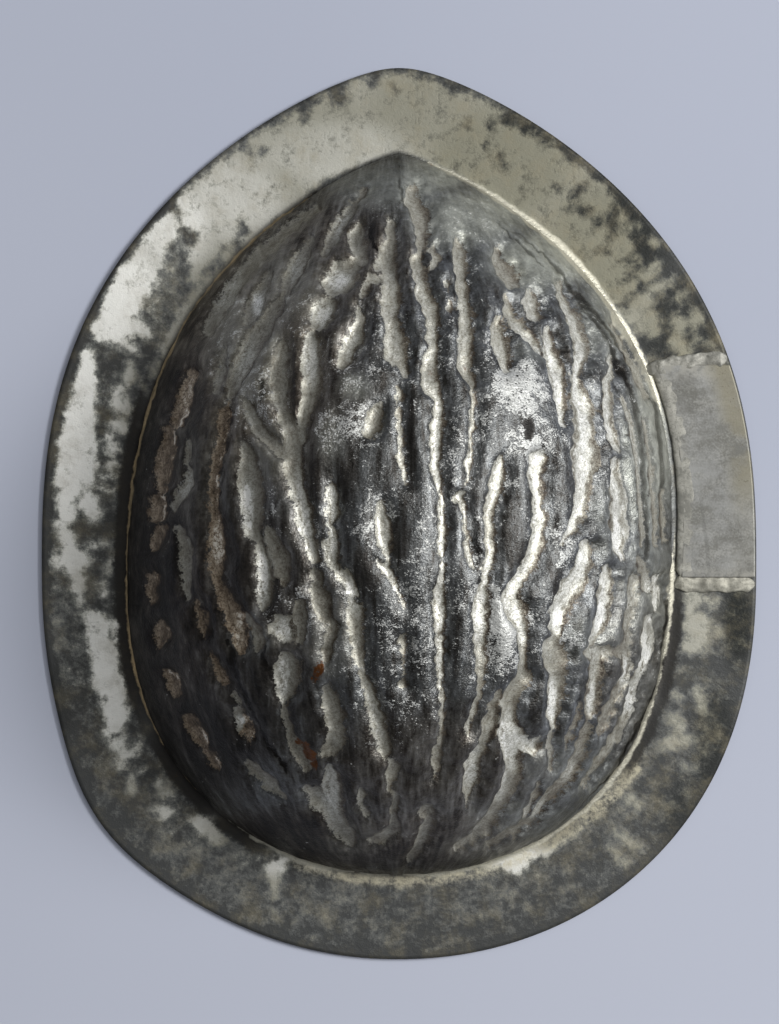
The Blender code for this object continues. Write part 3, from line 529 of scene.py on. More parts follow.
# Where furrow tin is brighter, and how strong its painted highlights are
BRIGHT_TIN_AND_HIGHLIGHTS = (
    (560, 450, 80, 140, 0.9), (500, 600, 60, 60, 0.9), (440, 480, 40, 110, 0.75),
    (515, 742, 26, 28, 0.8), (303, 510, 12, 60, 0.9), (657, 598, 12, 30, 0.9),
    (590, 590, 44, 50, 0.85), (430, 330, 70, 70, 0.4), (450, 620, 22, 100, 0.8),
    (243, 510, 6, 26, 1.5), (474, 772, 12, 24, 0.7), (598, 670, 12, 34, 0.6),
    (283, 630, 12, 12, 1.0), (238, 722, 4, 5, 1.3), (259, 578, 6, 26, 1.4), (395, 560, 40, 50, 0.7),
    (333, 515, 12, 60, 0.7), (355, 595, 14, 20, 0.8), (475, 330, 30, 80, 0.3),
    (370, 720, 16, 40, 0.4), (335, 795, 16, 26, 0.6), (190, 400, 12, 26, 0.5),
    (187, 490, 10, 20, 0.5), (648, 690, 14, 40, 0.5), (296, 270, 10, 20, 0.45),
    (256, 304, 6, 13, 1.2), (340, 222, 12, 16, 0.6), (244, 362, 12, 26, 0.5),
    (228, 294, 14, 26, 0.5), (563, 620, 8, 16, 1.3), (606, 618, 8, 20, 1.3), (650, 603, 6, 13, 1.4),
    (648, 652, 8, 22, 1.4), (590, 634, 6, 14, 0.9), (627, 672, 6, 16, 1.1), (556, 704, 6, 22, 1.2),
    (596, 700, 8, 20, 1.0), (634, 706, 7, 18, 1.0), (571, 772, 8, 16, 0.6), (536, 812, 20, 10, 0.5),
    (500, 775, 8, 26, 0.6), (470, 730, 8, 40, 0.5), (622, 540, 6, 30, 1.2), (612, 500, 6, 24, 1.0),
    (578, 556, 8, 20, 1.2), (280, 680, 6, 22, 0.9), (337, 277, 12, 9, 0.9), (322, 312, 9, 11, 1.1),
    (309, 360, 7, 26, 0.8), (350, 342, 8, 20, 0.6), (213, 425, 4, 16, 0.6), (214, 545, 5, 26, 0.7),
    (236, 630, 6, 20, 0.4),
)

# On the flange: bright tin, grime and the bowl's painted shadow beside the bowl, thin haze of tin
# on bare sheet, and drab tin
BRIGHT_FLANGE = (
    (80, 430, 46, 150, 1.0), (108, 670, 40, 90, 1.0), (120, 300, 50, 60, 0.95),
    (170, 225, 40, 40, 0.8), (235, 200, 50, 40, 0.42), (340, 155, 70, 30, 0.25),
    (519, 860, 30, 18, 0.9), (300, 860, 60, 16, 0.8), (190, 815, 40, 26, 0.55),
    (150, 745, 50, 40, 0.6), (695, 615, 26, 40, 0.05), (70, 560, 30, 50, 0.8),
)
# Grime, and the bowl's shadow painted on the flange beside it
FLANGE_GRIME_AND_SHADOW = (
    (128, 520, 22, 240, 1.0), (185, 775, 50, 50, 1.0), (230, 835, 40, 20, 0.9),
    (668, 640, 22, 80, 0.9), (640, 735, 30, 50, 0.8), (560, 835, 40, 20, 0.4),
)
FLANGE_HAZE = (
    (200, 848, 44, 24, 0.9), (232, 888, 30, 26, 0.7), (166, 826, 24, 16, 0.7),
    (68, 640, 18, 50, 0.6), (60, 560, 16, 50, 0.5), (94, 628, 26, 30, 0.8), (270, 885, 24, 30, 0.6),
    (168, 300, 22, 44, 1.0), (330, 900, 40, 24, 0.5), (420, 915, 50, 24, 0.45),
    (510, 880, 40, 30, 0.6), (560, 880, 30, 30, 0.4), (690, 620, 40, 50, 0.4),
    (690, 720, 36, 50, 0.4), (640, 830, 40, 40, 0.3),
)
OLIVE = (
    (500, 165, 90, 70, 1.0), (600, 245, 70, 80, 1.0), (690, 330, 60, 60, 0.8),
    (420, 115, 60, 50, 0.7), (264, 184, 34, 20, 0.6), (330, 130, 60, 40, 0.5),
    (738, 622, 16, 46, 1.0), (716, 750, 22, 60, 0.8), (690, 815, 30, 40, 0.6),
    (60, 700, 14, 40, 0.5),
)

# Rust anywhere, and the places where furrows and creases run straight
RUST = (
    (320, 668, 6, 9, 1.0), (316, 677, 5, 6, 0.8), (302, 744, 10, 5, 1.1), (309, 754, 8, 7, 1.3),
    (314, 765, 5, 6, 1.1), (431, 371, 5, 6, 0.55), (433, 360, 6, 12, 0.4), (468, 365, 6, 7, 0.55),
    (466, 352, 5, 10, 0.35), (420, 197, 9, 8, 0.4), (368, 712, 4, 5, 0.6), (430, 167, 5, 5, 0.6),
    (525, 690, 8, 12, 0.35), (565, 672, 5, 12, 0.35), (390, 518, 6, 12, 0.35),
    (421, 266, 6, 9, 0.35), (178, 775, 5, 10, 0.4), (130, 580, 3, 60, 0.25),
)
STRAIGHT = (
    (655, 440, 30, 110, 0.75), (655, 640, 20, 60, 0.5), (590, 800, 60, 30, 0.4),
)


def colour(red, green, blue):
    """A shader colour from the red, green and blue of a paint chart, 0 to 255."""
    return tuple(
        value / 12.92 if value <= 0.04045 else ((value + 0.055) / 1.055) ** 2.4
        for value in (red / 255, green / 255, blue / 255)
    ) + (1.0,)


class Wire:
    """A value on its way through a material's nodes."""

    def __init__(self, tree, socket=None):
        self.tree = tree
        self.socket = socket

    def node(self, kind, settings=None, values=None, output=0):
        """Adds a node with its settings, and with numbers or wires on its sockets."""
        node = self.tree.nodes.new(kind)
        for name, setting in (settings or {}).items():
            if name == "stops":
                for place, _ in setting[1:-1]:
                    node.color_ramp.elements.new(place)
                for stop, (place, shade) in zip(node.color_ramp.elements, setting):
                    stop.position, stop.color = place, shade
            else:
                setattr(node, name, setting)
        for name, value in (values or {}).items():
            if isinstance(value, Wire):
                self.tree.links.new(value.socket, node.inputs[name])
            else:
                node.inputs[name].default_value = value
        return Wire(self.tree, node.outputs[output])

    def maths(self, operation, first, second=0.0):
        """A Math node on one or two values."""
        return self.node("ShaderNodeMath", {"operation": operation}, {0: first, 1: second})

    def __add__(self, other):
        return self.maths("ADD", self, other)

    def __sub__(self, other):
        return self.maths("SUBTRACT", self, other)

    def __mul__(self, other):
        return self.maths("MULTIPLY", self, other)

    def __truediv__(self, other):
        return self.maths("DIVIDE", self, other)

    def __pow__(self, other):
        return self.maths("POWER", self, other)

    def __radd__(self, other):
        return self.maths("ADD", other, self)

    def __rsub__(self, other):
        return self.maths("SUBTRACT", other, self)

    def __rmul__(self, other):
        return self.maths("MULTIPLY", other, self)

    def __abs__(self):
        return self.maths("ABSOLUTE", self)

    def larger(self, other):
        return self.maths("MAXIMUM", self, other)

    def smaller(self, other):
        return self.maths("MINIMUM", self, other)

    def ramp(self, low, high):
        """A soft step: 0 below low and 1 above high, or the other way round."""
        settings = {"interpolation_type": "SMOOTHSTEP"}
        if low < high:
            return self.node("ShaderNodeMapRange", settings, {0: self, 1: low, 2: high})
        return self.node("ShaderNodeMapRange", settings, {0: self, 1: high, 2: low, 3: 1.0, 4: 0.0})

    def field(self, name):
        """A value that the mesh carries."""
        return self.node("ShaderNodeAttribute", {"attribute_name": name}, output=2)

    def fields(self, *names):
        """Several values that the mesh carries."""
        return [self.field(name) for name in names]

    def place(self, stretch=(1.0, 1.0, 1.0)):
        """The place on the piece, stretched along its axes."""
        where = self.node("ShaderNodeTexCoord", output=3)
        return self.node("ShaderNodeMapping", {}, {"Vector": where, "Scale": stretch})

    def grain(self, size, detail=2.0, stretch=(1.0, 1.0, 1.0), roughness=0.5, where=None):
        """Noise from 0 to 1 with marks of about this size, in metres."""
        values = {"Vector": where or self.place(stretch), "Scale": 1 / size, "Detail": detail}
        values["Roughness"] = roughness
        return self.node("ShaderNodeTexNoise", {}, values)

    def unevenness(self, size, detail=2.0, **others):
        """The same noise, spread from about -1 to 1."""
        return (self.grain(size, detail, **others) - 0.5) * 2.4

    def tinted(self, *shades, places=None):
        """A colour that runs through these shades, evenly or at places, from 0 to 1."""
        places = places or [step / (len(shades) - 1) for step in range(len(shades))]
        stops = [(place, colour(*shade)) for place, shade in zip(places, shades)]
        return self.node("ShaderNodeValToRGB", {"stops": stops}, {0: self})

    def blend(self, share, under, over):
        """A colour between two, more of the second as the share grows."""
        return self.node(
            "ShaderNodeMix", {"data_type": "RGBA"}, {0: share, 6: under, 7: over}, output=2
        )

    def relief(self, strength, depth):
        """Bumps of this height pattern, for a shader's Normal."""
        values = {"Strength": strength, "Distance": depth, "Height": self}
        return self.node("ShaderNodeBump", {}, values)


def metal(name):
    """A fresh material, its shader and a wire to draw from."""
    material = bpy.data.materials.new(name)
    material.use_nodes = True
    shader = material.node_tree.nodes["Principled BSDF"]
    return material, shader, Wire(material.node_tree)


def feed(shader, **values):
    """Puts numbers and wires on a shader's sockets, named with _ for a space."""
    for name, value in values.items():
        socket = shader.inputs[name.replace("_", " ")]
        if isinstance(value, Wire):
            value.tree.links.new(value.socket, socket)
        else:
            socket.default_value = value


# Finishes. Patterns run from about -1 to 1, and what the mesh carries from 0 to about 1 or in
# metres. The numbers that weigh them were matched to the photograph.


def bare_plates(start, coarse, middling, fine, grit):
    """The raised plates: dark bare sheet with upright streaks, paler near the rim at the right."""
    pale, grime, burnish, warm = start.fields("pale", "grime", "burnish", "warm")
    reach, crease = start.fields("reach", "crease")
    nut_across, nut_along = start.fields("nut_across", "nut_along")
    nutwise = start.node("ShaderNodeCombineXYZ", {}, {0: nut_across, 1: nut_along})
    streak = start.unevenness(0.55 * MM, 3.0, where=nutwise)
    bands = start.unevenness(1.7 * MM, 4.0, where=nutwise, roughness=0.6)
    beside = reach.ramp(1.1 * MM, 0.0)
    mid_length = abs(nut_along).ramp(52 * MM, 30 * MM)
    calm = (1 - pale.smaller(1.0) * 0.72) * (0.2 + mid_length * 0.8)
    tone = 0.33 + (bands * 0.32 + streak * 0.24) * calm + middling * 0.08
    tone = tone + fine * 0.12 * (1 - grime * 0.4)
    # Rubbed bright specks, strongest where they paint the lamp's highlight
    tone = tone + burnish * 0.06 + grit * (0.06 + burnish * 0.26)
    tone = tone + beside * (0.1 + 0.3 * middling) * (1 - grime * 0.6)
    # Pale plates are lighter; grime and painted shade darken others
    tone = tone + pale * (0.32 + 0.22 * coarse + 0.16 * middling) - grime * 0.3
    # Painted shade darkens the creases
    tone = tone - (crease * (1.0 + fine * 0.5 + middling * 0.4)).ramp(0.25, 1.0) * 0.42
    cold = tone.tinted(
        (25, 22, 18), (60, 58, 55), (99, 100, 99), (136, 138, 138), (171, 173, 169), (204, 204, 198)
    )
    brown = tone.tinted(
        (22, 17, 13), (60, 53, 46), (106, 99, 89), (140, 134, 124), (170, 165, 155), (200, 196, 186)
    )
    worn = tone.tinted((52, 52, 45), (116, 117, 106), (186, 187, 174))
    return start.blend(pale * 0.75, start.blend(warm, cold, brown), worn)


def furrow_tin(start, coarse, middling, fine, grit):
    """Furrow tin: brown grime and painted shade on the shaded side, painted highlights where lit.
    """
    tone, bright, side, off_middle = start.fields("tone", "bright", "side", "off_middle")
    blurred_side = side + fine * 0.4 + middling * 0.3
    # Painted shade and brown grime away from the lamp; painted highlights facing it and mid-furrow
    far_side_shade_and_grime = (side + middling * 0.6 + fine * 0.3).ramp(0.0, 1.0)
    lit = blurred_side.ramp(-0.3, -0.75)
    highlit_middle = (off_middle + fine * 0.3 + middling * 0.4).ramp(0.78, 0.25)
    cracks = abs(start.unevenness(0.6 * MM, 3.0, roughness=0.6)).ramp(0.12, 0.0)
    level = 0.3 + tone * 0.16 + bright * 0.02 + coarse * 0.1 + middling * 0.24 + fine * 0.22
    level = level + grit * (0.08 + bright * 0.16) - far_side_shade_and_grime * 0.2 + lit * (0.16 + bright * 0.34)
    level = level + highlit_middle * (0.06 + bright * 0.4) - (1 - highlit_middle) * bright * 0.16
    level = level - cracks * (0.14 + bright * 0.12)
    # A painted highlight on the tan pits' rim that faces the lamp
    gleam = blurred_side.ramp(0.15, 0.5) * (side + fine * 0.4).ramp(1.1, 0.75)
    gleam = gleam * (coarse + middling).ramp(-0.2, 0.5)
    tin = level.tinted(
        (50, 43, 36), (90, 82, 70), (130, 126, 114), (165, 163, 152), (203, 202, 193),
        (240, 239, 233),
    )
    tan = (level * 1.9 - 0.3 + gleam * 0.8).tinted(
        (34, 26, 19), (108, 88, 66), (180, 162, 138), (250, 242, 226), places=(0.0, 0.35, 0.7, 1.0)
    )
    return start.blend(tone.ramp(0.45, 0.05) * 0.75, tin, tan)


def flange_wear(start, middling, fine, grit):
    """Clouds of tin on the bare flange, with the tin's share of the surface."""
    cover, edge, rim = start.fields("cover", "edge", "rim")
    bright, olive, grime = start.fields("bright", "olive", "grime")
    clouds = start.unevenness(2.2 * MM, 6.0, roughness=0.72)
    share = 0.5 + cover.smaller(0.75 * MM) / (1.7 * MM) + clouds * 0.5
    share = share + bright * 0.06 + middling * 0.34 + fine * 0.3 + grit * 0.14
    share = share + start.unevenness(1.7 * MM, 1.0) * (1 - bright * 0.5) * 0.2
    # Below the bowl's foot, more cream tin and a painted glow of reflected light
    glow = start.field("glow") * (0.5 + clouds * 0.8 + fine * 0.4 + middling * 0.3)
    share = share + glow * 0.4
    share = share - (edge + clouds * (0.8 * MM)).ramp(1.5 * MM, 0.2 * MM) * 0.6
    # Grime and the bowl's painted shadow darken the flange beside the bowl
    dirt_and_shadow = (rim + clouds * (0.5 * MM) + fine * (0.3 * MM)).ramp(2.3 * MM, 1.5 * MM) * grime
    share = (share - dirt_and_shadow * 0.4 - 0.5) * 1.2 + 0.5
    worn = share.tinted(
        (62, 62, 60), (88, 89, 86), (130, 131, 125), (206, 205, 196), (244, 243, 236)
    )
    dull = share.tinted(
        (70, 71, 70), (94, 95, 93), (118, 118, 112), (140, 139, 128), (162, 160, 148)
    )
    drab = share.tinted((30, 32, 29), (50, 51, 46), (84, 83, 73), (110, 108, 94), (130, 128, 112))
    flat = start.blend(bright, start.blend(olive, dull, drab), worn)
    stains = start.unevenness(3.4 * MM, 5.0, roughness=0.68)
    flat = start.blend((stains + fine * 0.2).ramp(-0.2, 0.8) * 0.5, flat, colour(138, 129, 104))
    flat = start.blend(glow.ramp(0.1, 0.9) * 0.75, flat, colour(200, 192, 166))
    return start.blend(dirt_and_shadow * 0.85, flat, colour(32, 28, 24)), share


def worn_outside():
    """The shell's outside: dark bare plates, cream tin in the furrows, a patchy tinned flange."""
    material, shader, start = metal("worn_outside")
    reach, side, flange, rust = start.fields("reach", "side", "flange", "rust")
    burnish, grime, pale = start.fields("burnish", "grime", "pale")
    seam, tan_seam = start.fields("seam", "tan_seam")
    coarse = start.unevenness(COARSE_GRAIN, 3.0)
    middling = start.unevenness(MIDDLING_GRAIN, 3.0)
    fine = start.unevenness(FINE_GRAIN, 3.0, roughness=0.65)
    grit = start.unevenness(GRIT_GRAIN, 2.0, stretch=(0.8, 1.2, 1.0), roughness=0.7)

    # Tin ends raggedly at the furrows' sides and thins out in specks over burnished plates, whose
    # specks are also a painted highlight where the lamp reflects
    plates = bare_plates(start, coarse, middling, fine, grit)
    lining = furrow_tin(start, coarse, middling, fine, grit)
    fringe = 0.75 + side.ramp(-0.2, 0.8) * 0.6
    ragged = reach + (middling * 0.42 + fine * 0.42 + grit * 0.3) * fringe * MM
    tin = ragged.ramp(0.07 * MM, -0.07 * MM)
    specks = grit * 0.44 + fine * 0.36 + middling * 0.46 + burnish * 0.7 * (1 - grime * 0.7)
    specks = (specks + coarse * 0.2 - 0.44).ramp(-0.06, 0.16)
    flecks = start.blend(grit * 0.7 + 0.5, colour(124, 125, 121), colour(232, 232, 227))
    dome = start.blend(specks * 0.9, plates, flecks)
    outline = abs(ragged - 0.14 * MM).ramp(0.2 * MM, 0.05 * MM) * (fine + middling).ramp(-0.4, 0.2)
    dome = start.blend(outline * 0.5, dome, colour(36, 33, 30))
    dome = start.blend(tin, dome, lining)

    # The flange, the lines of tin and brown along the bowl's edge with their painted highlight, and
    # the rust
    flat, share = flange_wear(start, middling, fine, grit)
    surface = start.blend(flange, dome, flat)
    # Cream tin along the seam, and a painted highlight where its fillet catches the lamp
    bead = (seam + middling * (0.3 * MM) + fine * (0.2 * MM)).ramp(0.15 * MM, -0.2 * MM)
    surface = start.blend(bead * (0.75 + 0.5 * fine), surface, colour(206, 202, 184))
    # Rust-brown grime along the left seam, and a painted highlight on its fillet
    thread = (tan_seam + middling * (0.24 * MM) + fine * (0.12 * MM)).ramp(0.14 * MM, -0.16 * MM)
    surface = start.blend(thread * (0.65 + 0.5 * middling), surface, colour(232, 206, 160))
    surface = start.blend((rust * (0.9 + fine * 0.9)).ramp(0.4, 0.85), surface, colour(96, 58, 27))

    on_dome, tinned = 1 - flange, tin.larger(specks)
    bare = (1 - tinned) * on_dome * (1 - grime * 0.7)
    metallic = 0.5 + bare * 0.4 * (1 - pale * 0.8)
    roughness = 0.4 + tinned * on_dome * 0.06 + flange * 0.14 + fine * 0.1 + grime * 0.12
    rise = reach.ramp(-0.3 * MM, 0.2 * MM) * on_dome
    pitting = (fine * 0.3 + grit * 0.12 + middling * 0.22) * (1 - flange * 0.72)
    bumps = rise * 0.25 + pitting * (1 - tin * on_dome * 0.4)
    bumps = bumps + specks * 0.12 + share.smaller(1.0) * flange * 0.1
    relief = bumps.relief(0.7, 0.25 * MM)
    feed(shader, Base_Color=surface, Metallic=metallic, Roughness=roughness, Normal=relief)
    return material


def tinned_inside():
    """The shell's inside, which still holds most of its tin."""
    material, shader, start = metal("tinned_inside")
    coarse, middling = start.grain(7 * MM, 4.0), start.grain(1.4 * MM, 3.0)
    fine = start.grain(0.3 * MM, 2.0)
    tin = start.blend(coarse.ramp(0.3, 0.7), colour(150, 150, 144), colour(198, 197, 190))
    worn = (coarse * 0.5 + middling * 0.5).ramp(0.56, 0.64)
    tin = start.blend(worn * 0.7, tin, colour(92, 88, 80))
    relief = (middling * 0.7 + fine * 0.3).relief(0.35, 0.1 * MM)
    feed(shader, Base_Color=tin, Metallic=0.7, Roughness=0.34 + coarse * 0.2, Normal=relief)
    return material


def patch_finish():
    """Satin grey tinplate with brown stains along the patch's outer edge."""
    material, shader, start = metal("patch_finish")
    across, up = start.fields("across", "up")
    coarse, middling = start.grain(3.5 * MM, 3.0), start.grain(0.9 * MM, 3.0)
    fine = start.grain(0.25 * MM, 2.0)
    drawn = start.grain(1.3 * MM, 4.0, stretch=(0.35, 1.0, 1.0))
    clouded = (coarse * 0.55 + middling * 0.25 + fine * 0.2).ramp(0.36, 0.64)
    plate = start.blend(clouded, colour(106, 105, 99), colour(142, 142, 139))
    plate = start.blend(
        (drawn * 0.6 + fine * 0.4).ramp(0.46, 0.66) * 0.45, plate, colour(158, 157, 151)
    )
    margin = across.ramp(0.16, 0.0).larger(up.ramp(0.06, 0.0)).larger(up.ramp(0.9, 1.0))
    plate = start.blend(margin * middling.ramp(0.3, 0.6), plate, colour(148, 146, 138))
    outer = across.ramp(0.55, 0.85) * (up.ramp(0.25, 0.5) * 0.8 + 0.2)
    plate = start.blend(outer * coarse.ramp(0.3, 0.6) * 0.7, plate, colour(122, 116, 94))
    pits = (fine * 0.5 + middling * 0.5).ramp(0.58, 0.66) * outer
    plate = start.blend(pits * 0.7, plate, colour(88, 82, 64))
    crack = abs(across - 0.28 - (0.3 - up) * 0.35).ramp(0.035, 0.012) * up.ramp(0.42, 0.34)
    plate = start.blend(crack * up.ramp(0.01, 0.06) * 0.35, plate, colour(96, 96, 92))
    roughness = 0.5 + (middling - 0.5) * 0.25
    relief = (coarse * 0.5 + drawn * 0.3 + fine * 0.2).relief(0.5, 0.12 * MM)
    feed(shader, Base_Color=plate, Metallic=0.4, Roughness=roughness, Normal=relief)
    return material


def solder_finish(name, dull, clean):
    """Dull solder with a darker skin."""
    material, shader, start = metal(name)
    coarse, fine = start.grain(1.8 * MM, 3.0), start.grain(0.3 * MM, 2.0)
    skin = start.blend((coarse * 0.6 + fine * 0.4).ramp(0.38, 0.62), colour(*dull), colour(*clean))
    skin = start.blend(fine.ramp(0.56, 0.7) * 0.5, skin, colour(98, 96, 88))
    relief = (coarse * 0.7 + fine * 0.3).relief(0.5, 0.15 * MM)
    feed(shader, Base_Color=skin, Metallic=0.4, Roughness=0.56 + fine * 0.15, Normal=relief)
    return material


def floor_finish():
    """A plain pale floor that looks as light far away as it is under the lamps."""
    material, shader, start = metal("pale_floor")
    clouds = start.grain(0.25, 2.0).ramp(0.3, 0.7)
    tint = start.blend(clouds, colour(168, 173, 188), colour(180, 184, 197))
    where = start.node("ShaderNodeTexCoord", output=3)
    x, y = (start.node("ShaderNodeSeparateXYZ", {}, {0: where}, output=axis) for axis in (0, 1))
    far = 1 - (1 + (x * x + y * y) / LAMPS_REACH**2) ** -1.0
    seen = start.node("ShaderNodeLightPath", output="Is Camera Ray")
    for ray in ("Is Glossy Ray", "Is Transmission Ray"):
        seen = seen.larger(start.node("ShaderNodeLightPath", output=ray))
    glow = start.blend(far * seen, colour(0, 0, 0), FAR_FLOOR)
    feed(shader, Base_Color=tint, Roughness=0.9, Emission_Color=glow, Emission_Strength=1.0)
    material.cycles.emission_sampling = "NONE"
    return material


# The smooth bowl and flange, the same as in the solids


def bowl_outline(lean):
    """Points of the line where the bowl meets the flange, clockwise from the tip."""
    step = np.sin(np.linspace(0, math.pi / 2, OUTLINE_STEPS))
    tip_half = BOWL_HALF_WIDTH * (1 - step**TIP_FULLNESS) ** TIP_BLUNTNESS
    foot_half = BOWL_HALF_WIDTH * (1 - step**FOOT_FULLNESS) ** FOOT_BLUNTNESS
    tip_y = WIDEST_Y + (BOWL_TIP_Y - WIDEST_Y) * step
    foot_y = WIDEST_Y + (BOWL_FOOT_Y - WIDEST_Y) * step
    half = np.concatenate([tip_half[::-1], foot_half[1:]])
    y = np.concatenate([tip_y[::-1], foot_y[1:]])
    shift = lean * np.sin(math.pi * np.clip((y - WIDEST_Y) / (BOWL_TIP_Y - WIDEST_Y), 0, 1))
    right = np.stack([half + shift, y], axis=1)
    left = np.stack([-half + shift, y], axis=1)[::-1][1:-1]
    return np.concatenate([right, left])


def flange_outline():
    """Points of the flange's cut edge: the flange is as wide all round, but for one swelling."""
    line = bowl_outline(0.0)
    along = np.roll(line, -1, axis=0) - np.roll(line, 1, axis=0)
    along /= np.linalg.norm(along, axis=1, keepdims=True)
    outward = np.stack([-along[:, 1], along[:, 0]], axis=1)
    direction = np.arctan2(line[:, 1], line[:, 0])
    swell = FLANGE_SWELL * np.exp(-(((direction - SWELL_AT) / SWELL_SPREAD) ** 2))
    return line + outward * (FLANGE_WIDTH + swell)[:, None]


def from_crown(places):
    """Directions and distances of places, as seen from under the crown."""
    offset = places - np.array([0.0, CROWN_Y])
    return np.arctan2(offset[:, 1], offset[:, 0]), np.linalg.norm(offset, axis=1)


def radius_table(line):
    """An outline's directions in order, and the distances there."""
    direction, distance = from_crown(line)
    order = np.argsort(direction)
    return direction[order], distance[order]


def radius_at(table, direction):
    """An outline's distance from the crown in a direction."""
    return np.interp(direction, *table, period=2 * math.pi)


def right_edge(line, y):
    """How far out an outline's right side lies at a place along it."""
    right = line[line[:, 0] > 0]
    order = np.argsort(right[:, 1])
    return np.interp(y, right[order, 1], right[order, 0])


BOWL_LINE, CUT_LINE = bowl_outline(TIP_LEAN), flange_outline()
BOWL_EDGE, CUT_EDGE = radius_table(BOWL_LINE), radius_table(CUT_LINE)


def from_pole_to_pole(places):
    """Places across and along the nut on lines that run from its tip to its foot."""
    x, y, z = places.T
    half = np.where(x > 0, right_edge(BOWL_LINE, y), right_edge(BOWL_LINE * (-1, 1), y))
    down = y + np.clip(y / WIDE_MIDDLE, -1, 1) * (SHEET + BOWL_HEIGHT - z)
    return np.stack([BOWL_HALF_WIDTH * x / np.hypot(half, NARROWEST), down * GRAIN_STRETCH], axis=1)


def disc(across, along):
    """For grid places from -1 to 1: the direction from the crown, the share of the way out, and
    how far out the edge would be if the bowl were an ellipse."""
    x = across * np.sqrt(1 - along**2 / 2)
    y = along * np.sqrt(1 - across**2 / 2)
    half_length = (BOWL_TIP_Y - BOWL_FOOT_Y) / 2
    direction = np.arctan2(y * half_length, x * BOWL_HALF_WIDTH)
    share = np.sin(np.clip(np.hypot(x, y), 0, 1) * CROWN_ARC) / math.sin(CROWN_ARC)
    ellipse = 1 / np.hypot(np.cos(direction) / BOWL_HALF_WIDTH, np.sin(direction) / half_length)
    return direction, share, ellipse


def round_crown(direction, radius, height):
    """Places this far from the crown and this high."""
    return np.stack(
        [radius * np.cos(direction), CROWN_Y + radius * np.sin(direction), height], axis=-1
    )


def smooth_bowl(across, along):
    """Places on the smooth outside, for grid places from -1 to 1 across and along."""
    direction, share, ellipse = disc(across, along)
    reach = radius_at(BOWL_EDGE, direction)
    radius = share * (ellipse + (reach - ellipse) * share**2)
    rise = FILLET_RISE * np.clip(1 - (1 - share) * reach / FILLET_REACH, 0, 1) ** 2
    left_out = math.cos(CROWN_ARC)
    arc = np.cos(np.arcsin(share * math.sin(CROWN_ARC)))
    height = SHEET + BOWL_HEIGHT * (arc - left_out) / (1 - left_out) + rise
    return round_crown(direction, radius, height)


def flange_ring(across, along, ring):
    """Places on the flange's top, on one of the rings round the bowl."""
    direction, _, _ = disc(across, along)
    inner = radius_at(BOWL_EDGE, direction)
    outer = radius_at(CUT_EDGE, direction)
    step = np.minimum(ring / FILLET_RINGS, 1)
    flat = np.clip((ring - FILLET_RINGS) / (FLANGE_RINGS - FILLET_RINGS), 0, 1)
    fillet = inner + FILLET_REACH * step
    radius = fillet + (outer - fillet) * flat
    return round_crown(direction, radius, SHEET + FILLET_RISE * (1 - step) ** 2)


def outward_normals(across, along):
    """Directions square to the smooth outside, found from two short steps over it."""
    step = 1e-3
    over = smooth_bowl(across * (1 - step) + step, along) - smooth_bowl(across, along)
    up = smooth_bowl(across, along * (1 - step) + step) - smooth_bowl(across, along)
    normal = np.cross(over, up)
    return normal / np.maximum(np.linalg.norm(normal, axis=-1, keepdims=True), 1e-12)


# What the traced lines and regions say about places on the mould


def in_photo(places):
    """Where places show in the photograph, in pixels across and down."""
    eye = np.array([CAMERA_X, CAMERA_Y])
    spread = CAMERA_OVER_FLANGE / (CAMERA_OVER_FLANGE - (places[:, 2] - SHEET))
    seen = eye + (places[:, :2] - eye) * spread[:, None]
    return np.stack([ORIGIN_ACROSS + seen[:, 0] / PIXEL, ORIGIN_DOWN - seen[:, 1] / PIXEL], axis=1)


def soft(value):
    """A soft step from 0 to 1."""
    value = np.clip(value, 0, 1)
    return value * value * (3 - 2 * value)


def grain_at(spots, size, seed):
    """Smooth unevenness from about -1 to 1, for flat places."""
    return np.array([noise.noise(Vector((x / size, y / size, seed))) for x, y in spots])


def grain_over(places, size, seed):
    """The same unevenness, for places on the mould."""
    return np.array([noise.noise(Vector(place) / size + Vector((0, 0, seed))) for place in places])


def wander(spots, size, seeds):
    """How far places wander across and down, from about -1 to 1."""
    return np.stack([grain_at(spots, size, seed) for seed in seeds], axis=1)


def run_field(spots, runs):
    """The nearest run's signed distance, width and side, at places in the photograph."""
    reach = np.full(len(spots), FIELD_REACH)
    width = np.full(len(spots), 1.0)
    side = np.zeros(len(spots))
    for run in runs:
        for (x0, y0, w0), (x1, y1, w1) in zip(run[:-1], run[1:]):
            low = np.array([min(x0, x1), min(y0, y1)]) - FIELD_REACH
            high = np.array([max(x0, x1), max(y0, y1)]) + FIELD_REACH
            near = np.nonzero(((spots > low) & (spots < high)).all(axis=1))[0]
            offset = spots[near] - (x0, y0)
            way = np.array([x1 - x0, y1 - y0], dtype=float)
            part = np.clip(offset @ way / (way @ way), 0, 1)
            away = offset - part[:, None] * way
            wide = w0 + (w1 - w0) * part
            signed = np.linalg.norm(away, axis=1) - wide / 2
            closer = signed < reach[near]
            chosen = near[closer]
            reach[chosen] = signed[closer]
            width[chosen] = wide[closer]
            side[chosen] = (away[:, 0] / np.maximum(wide / 2, 1))[closer]
    return reach, width, np.clip(side, -FARTHEST_SIDE, FARTHEST_SIDE)


def region_field(spots, regions):
    """How strongly soft regions cover places in the photograph."""
    field = np.zeros(len(spots))
    for x, y, half_width, half_height, strength in regions:
        away = np.hypot((spots[:, 0] - x) / half_width, (spots[:, 1] - y) / half_height)
        field = np.maximum(field, strength * soft(REGION_EDGE - away))
    return field


# Pieces


def only(piece=None):
    """Leaves one piece selected and active, or nothing selected."""
    bpy.ops.object.select_all(action="DESELECT")
    if piece:
        piece.select_set(True)
        bpy.context.view_layer.objects.active = piece


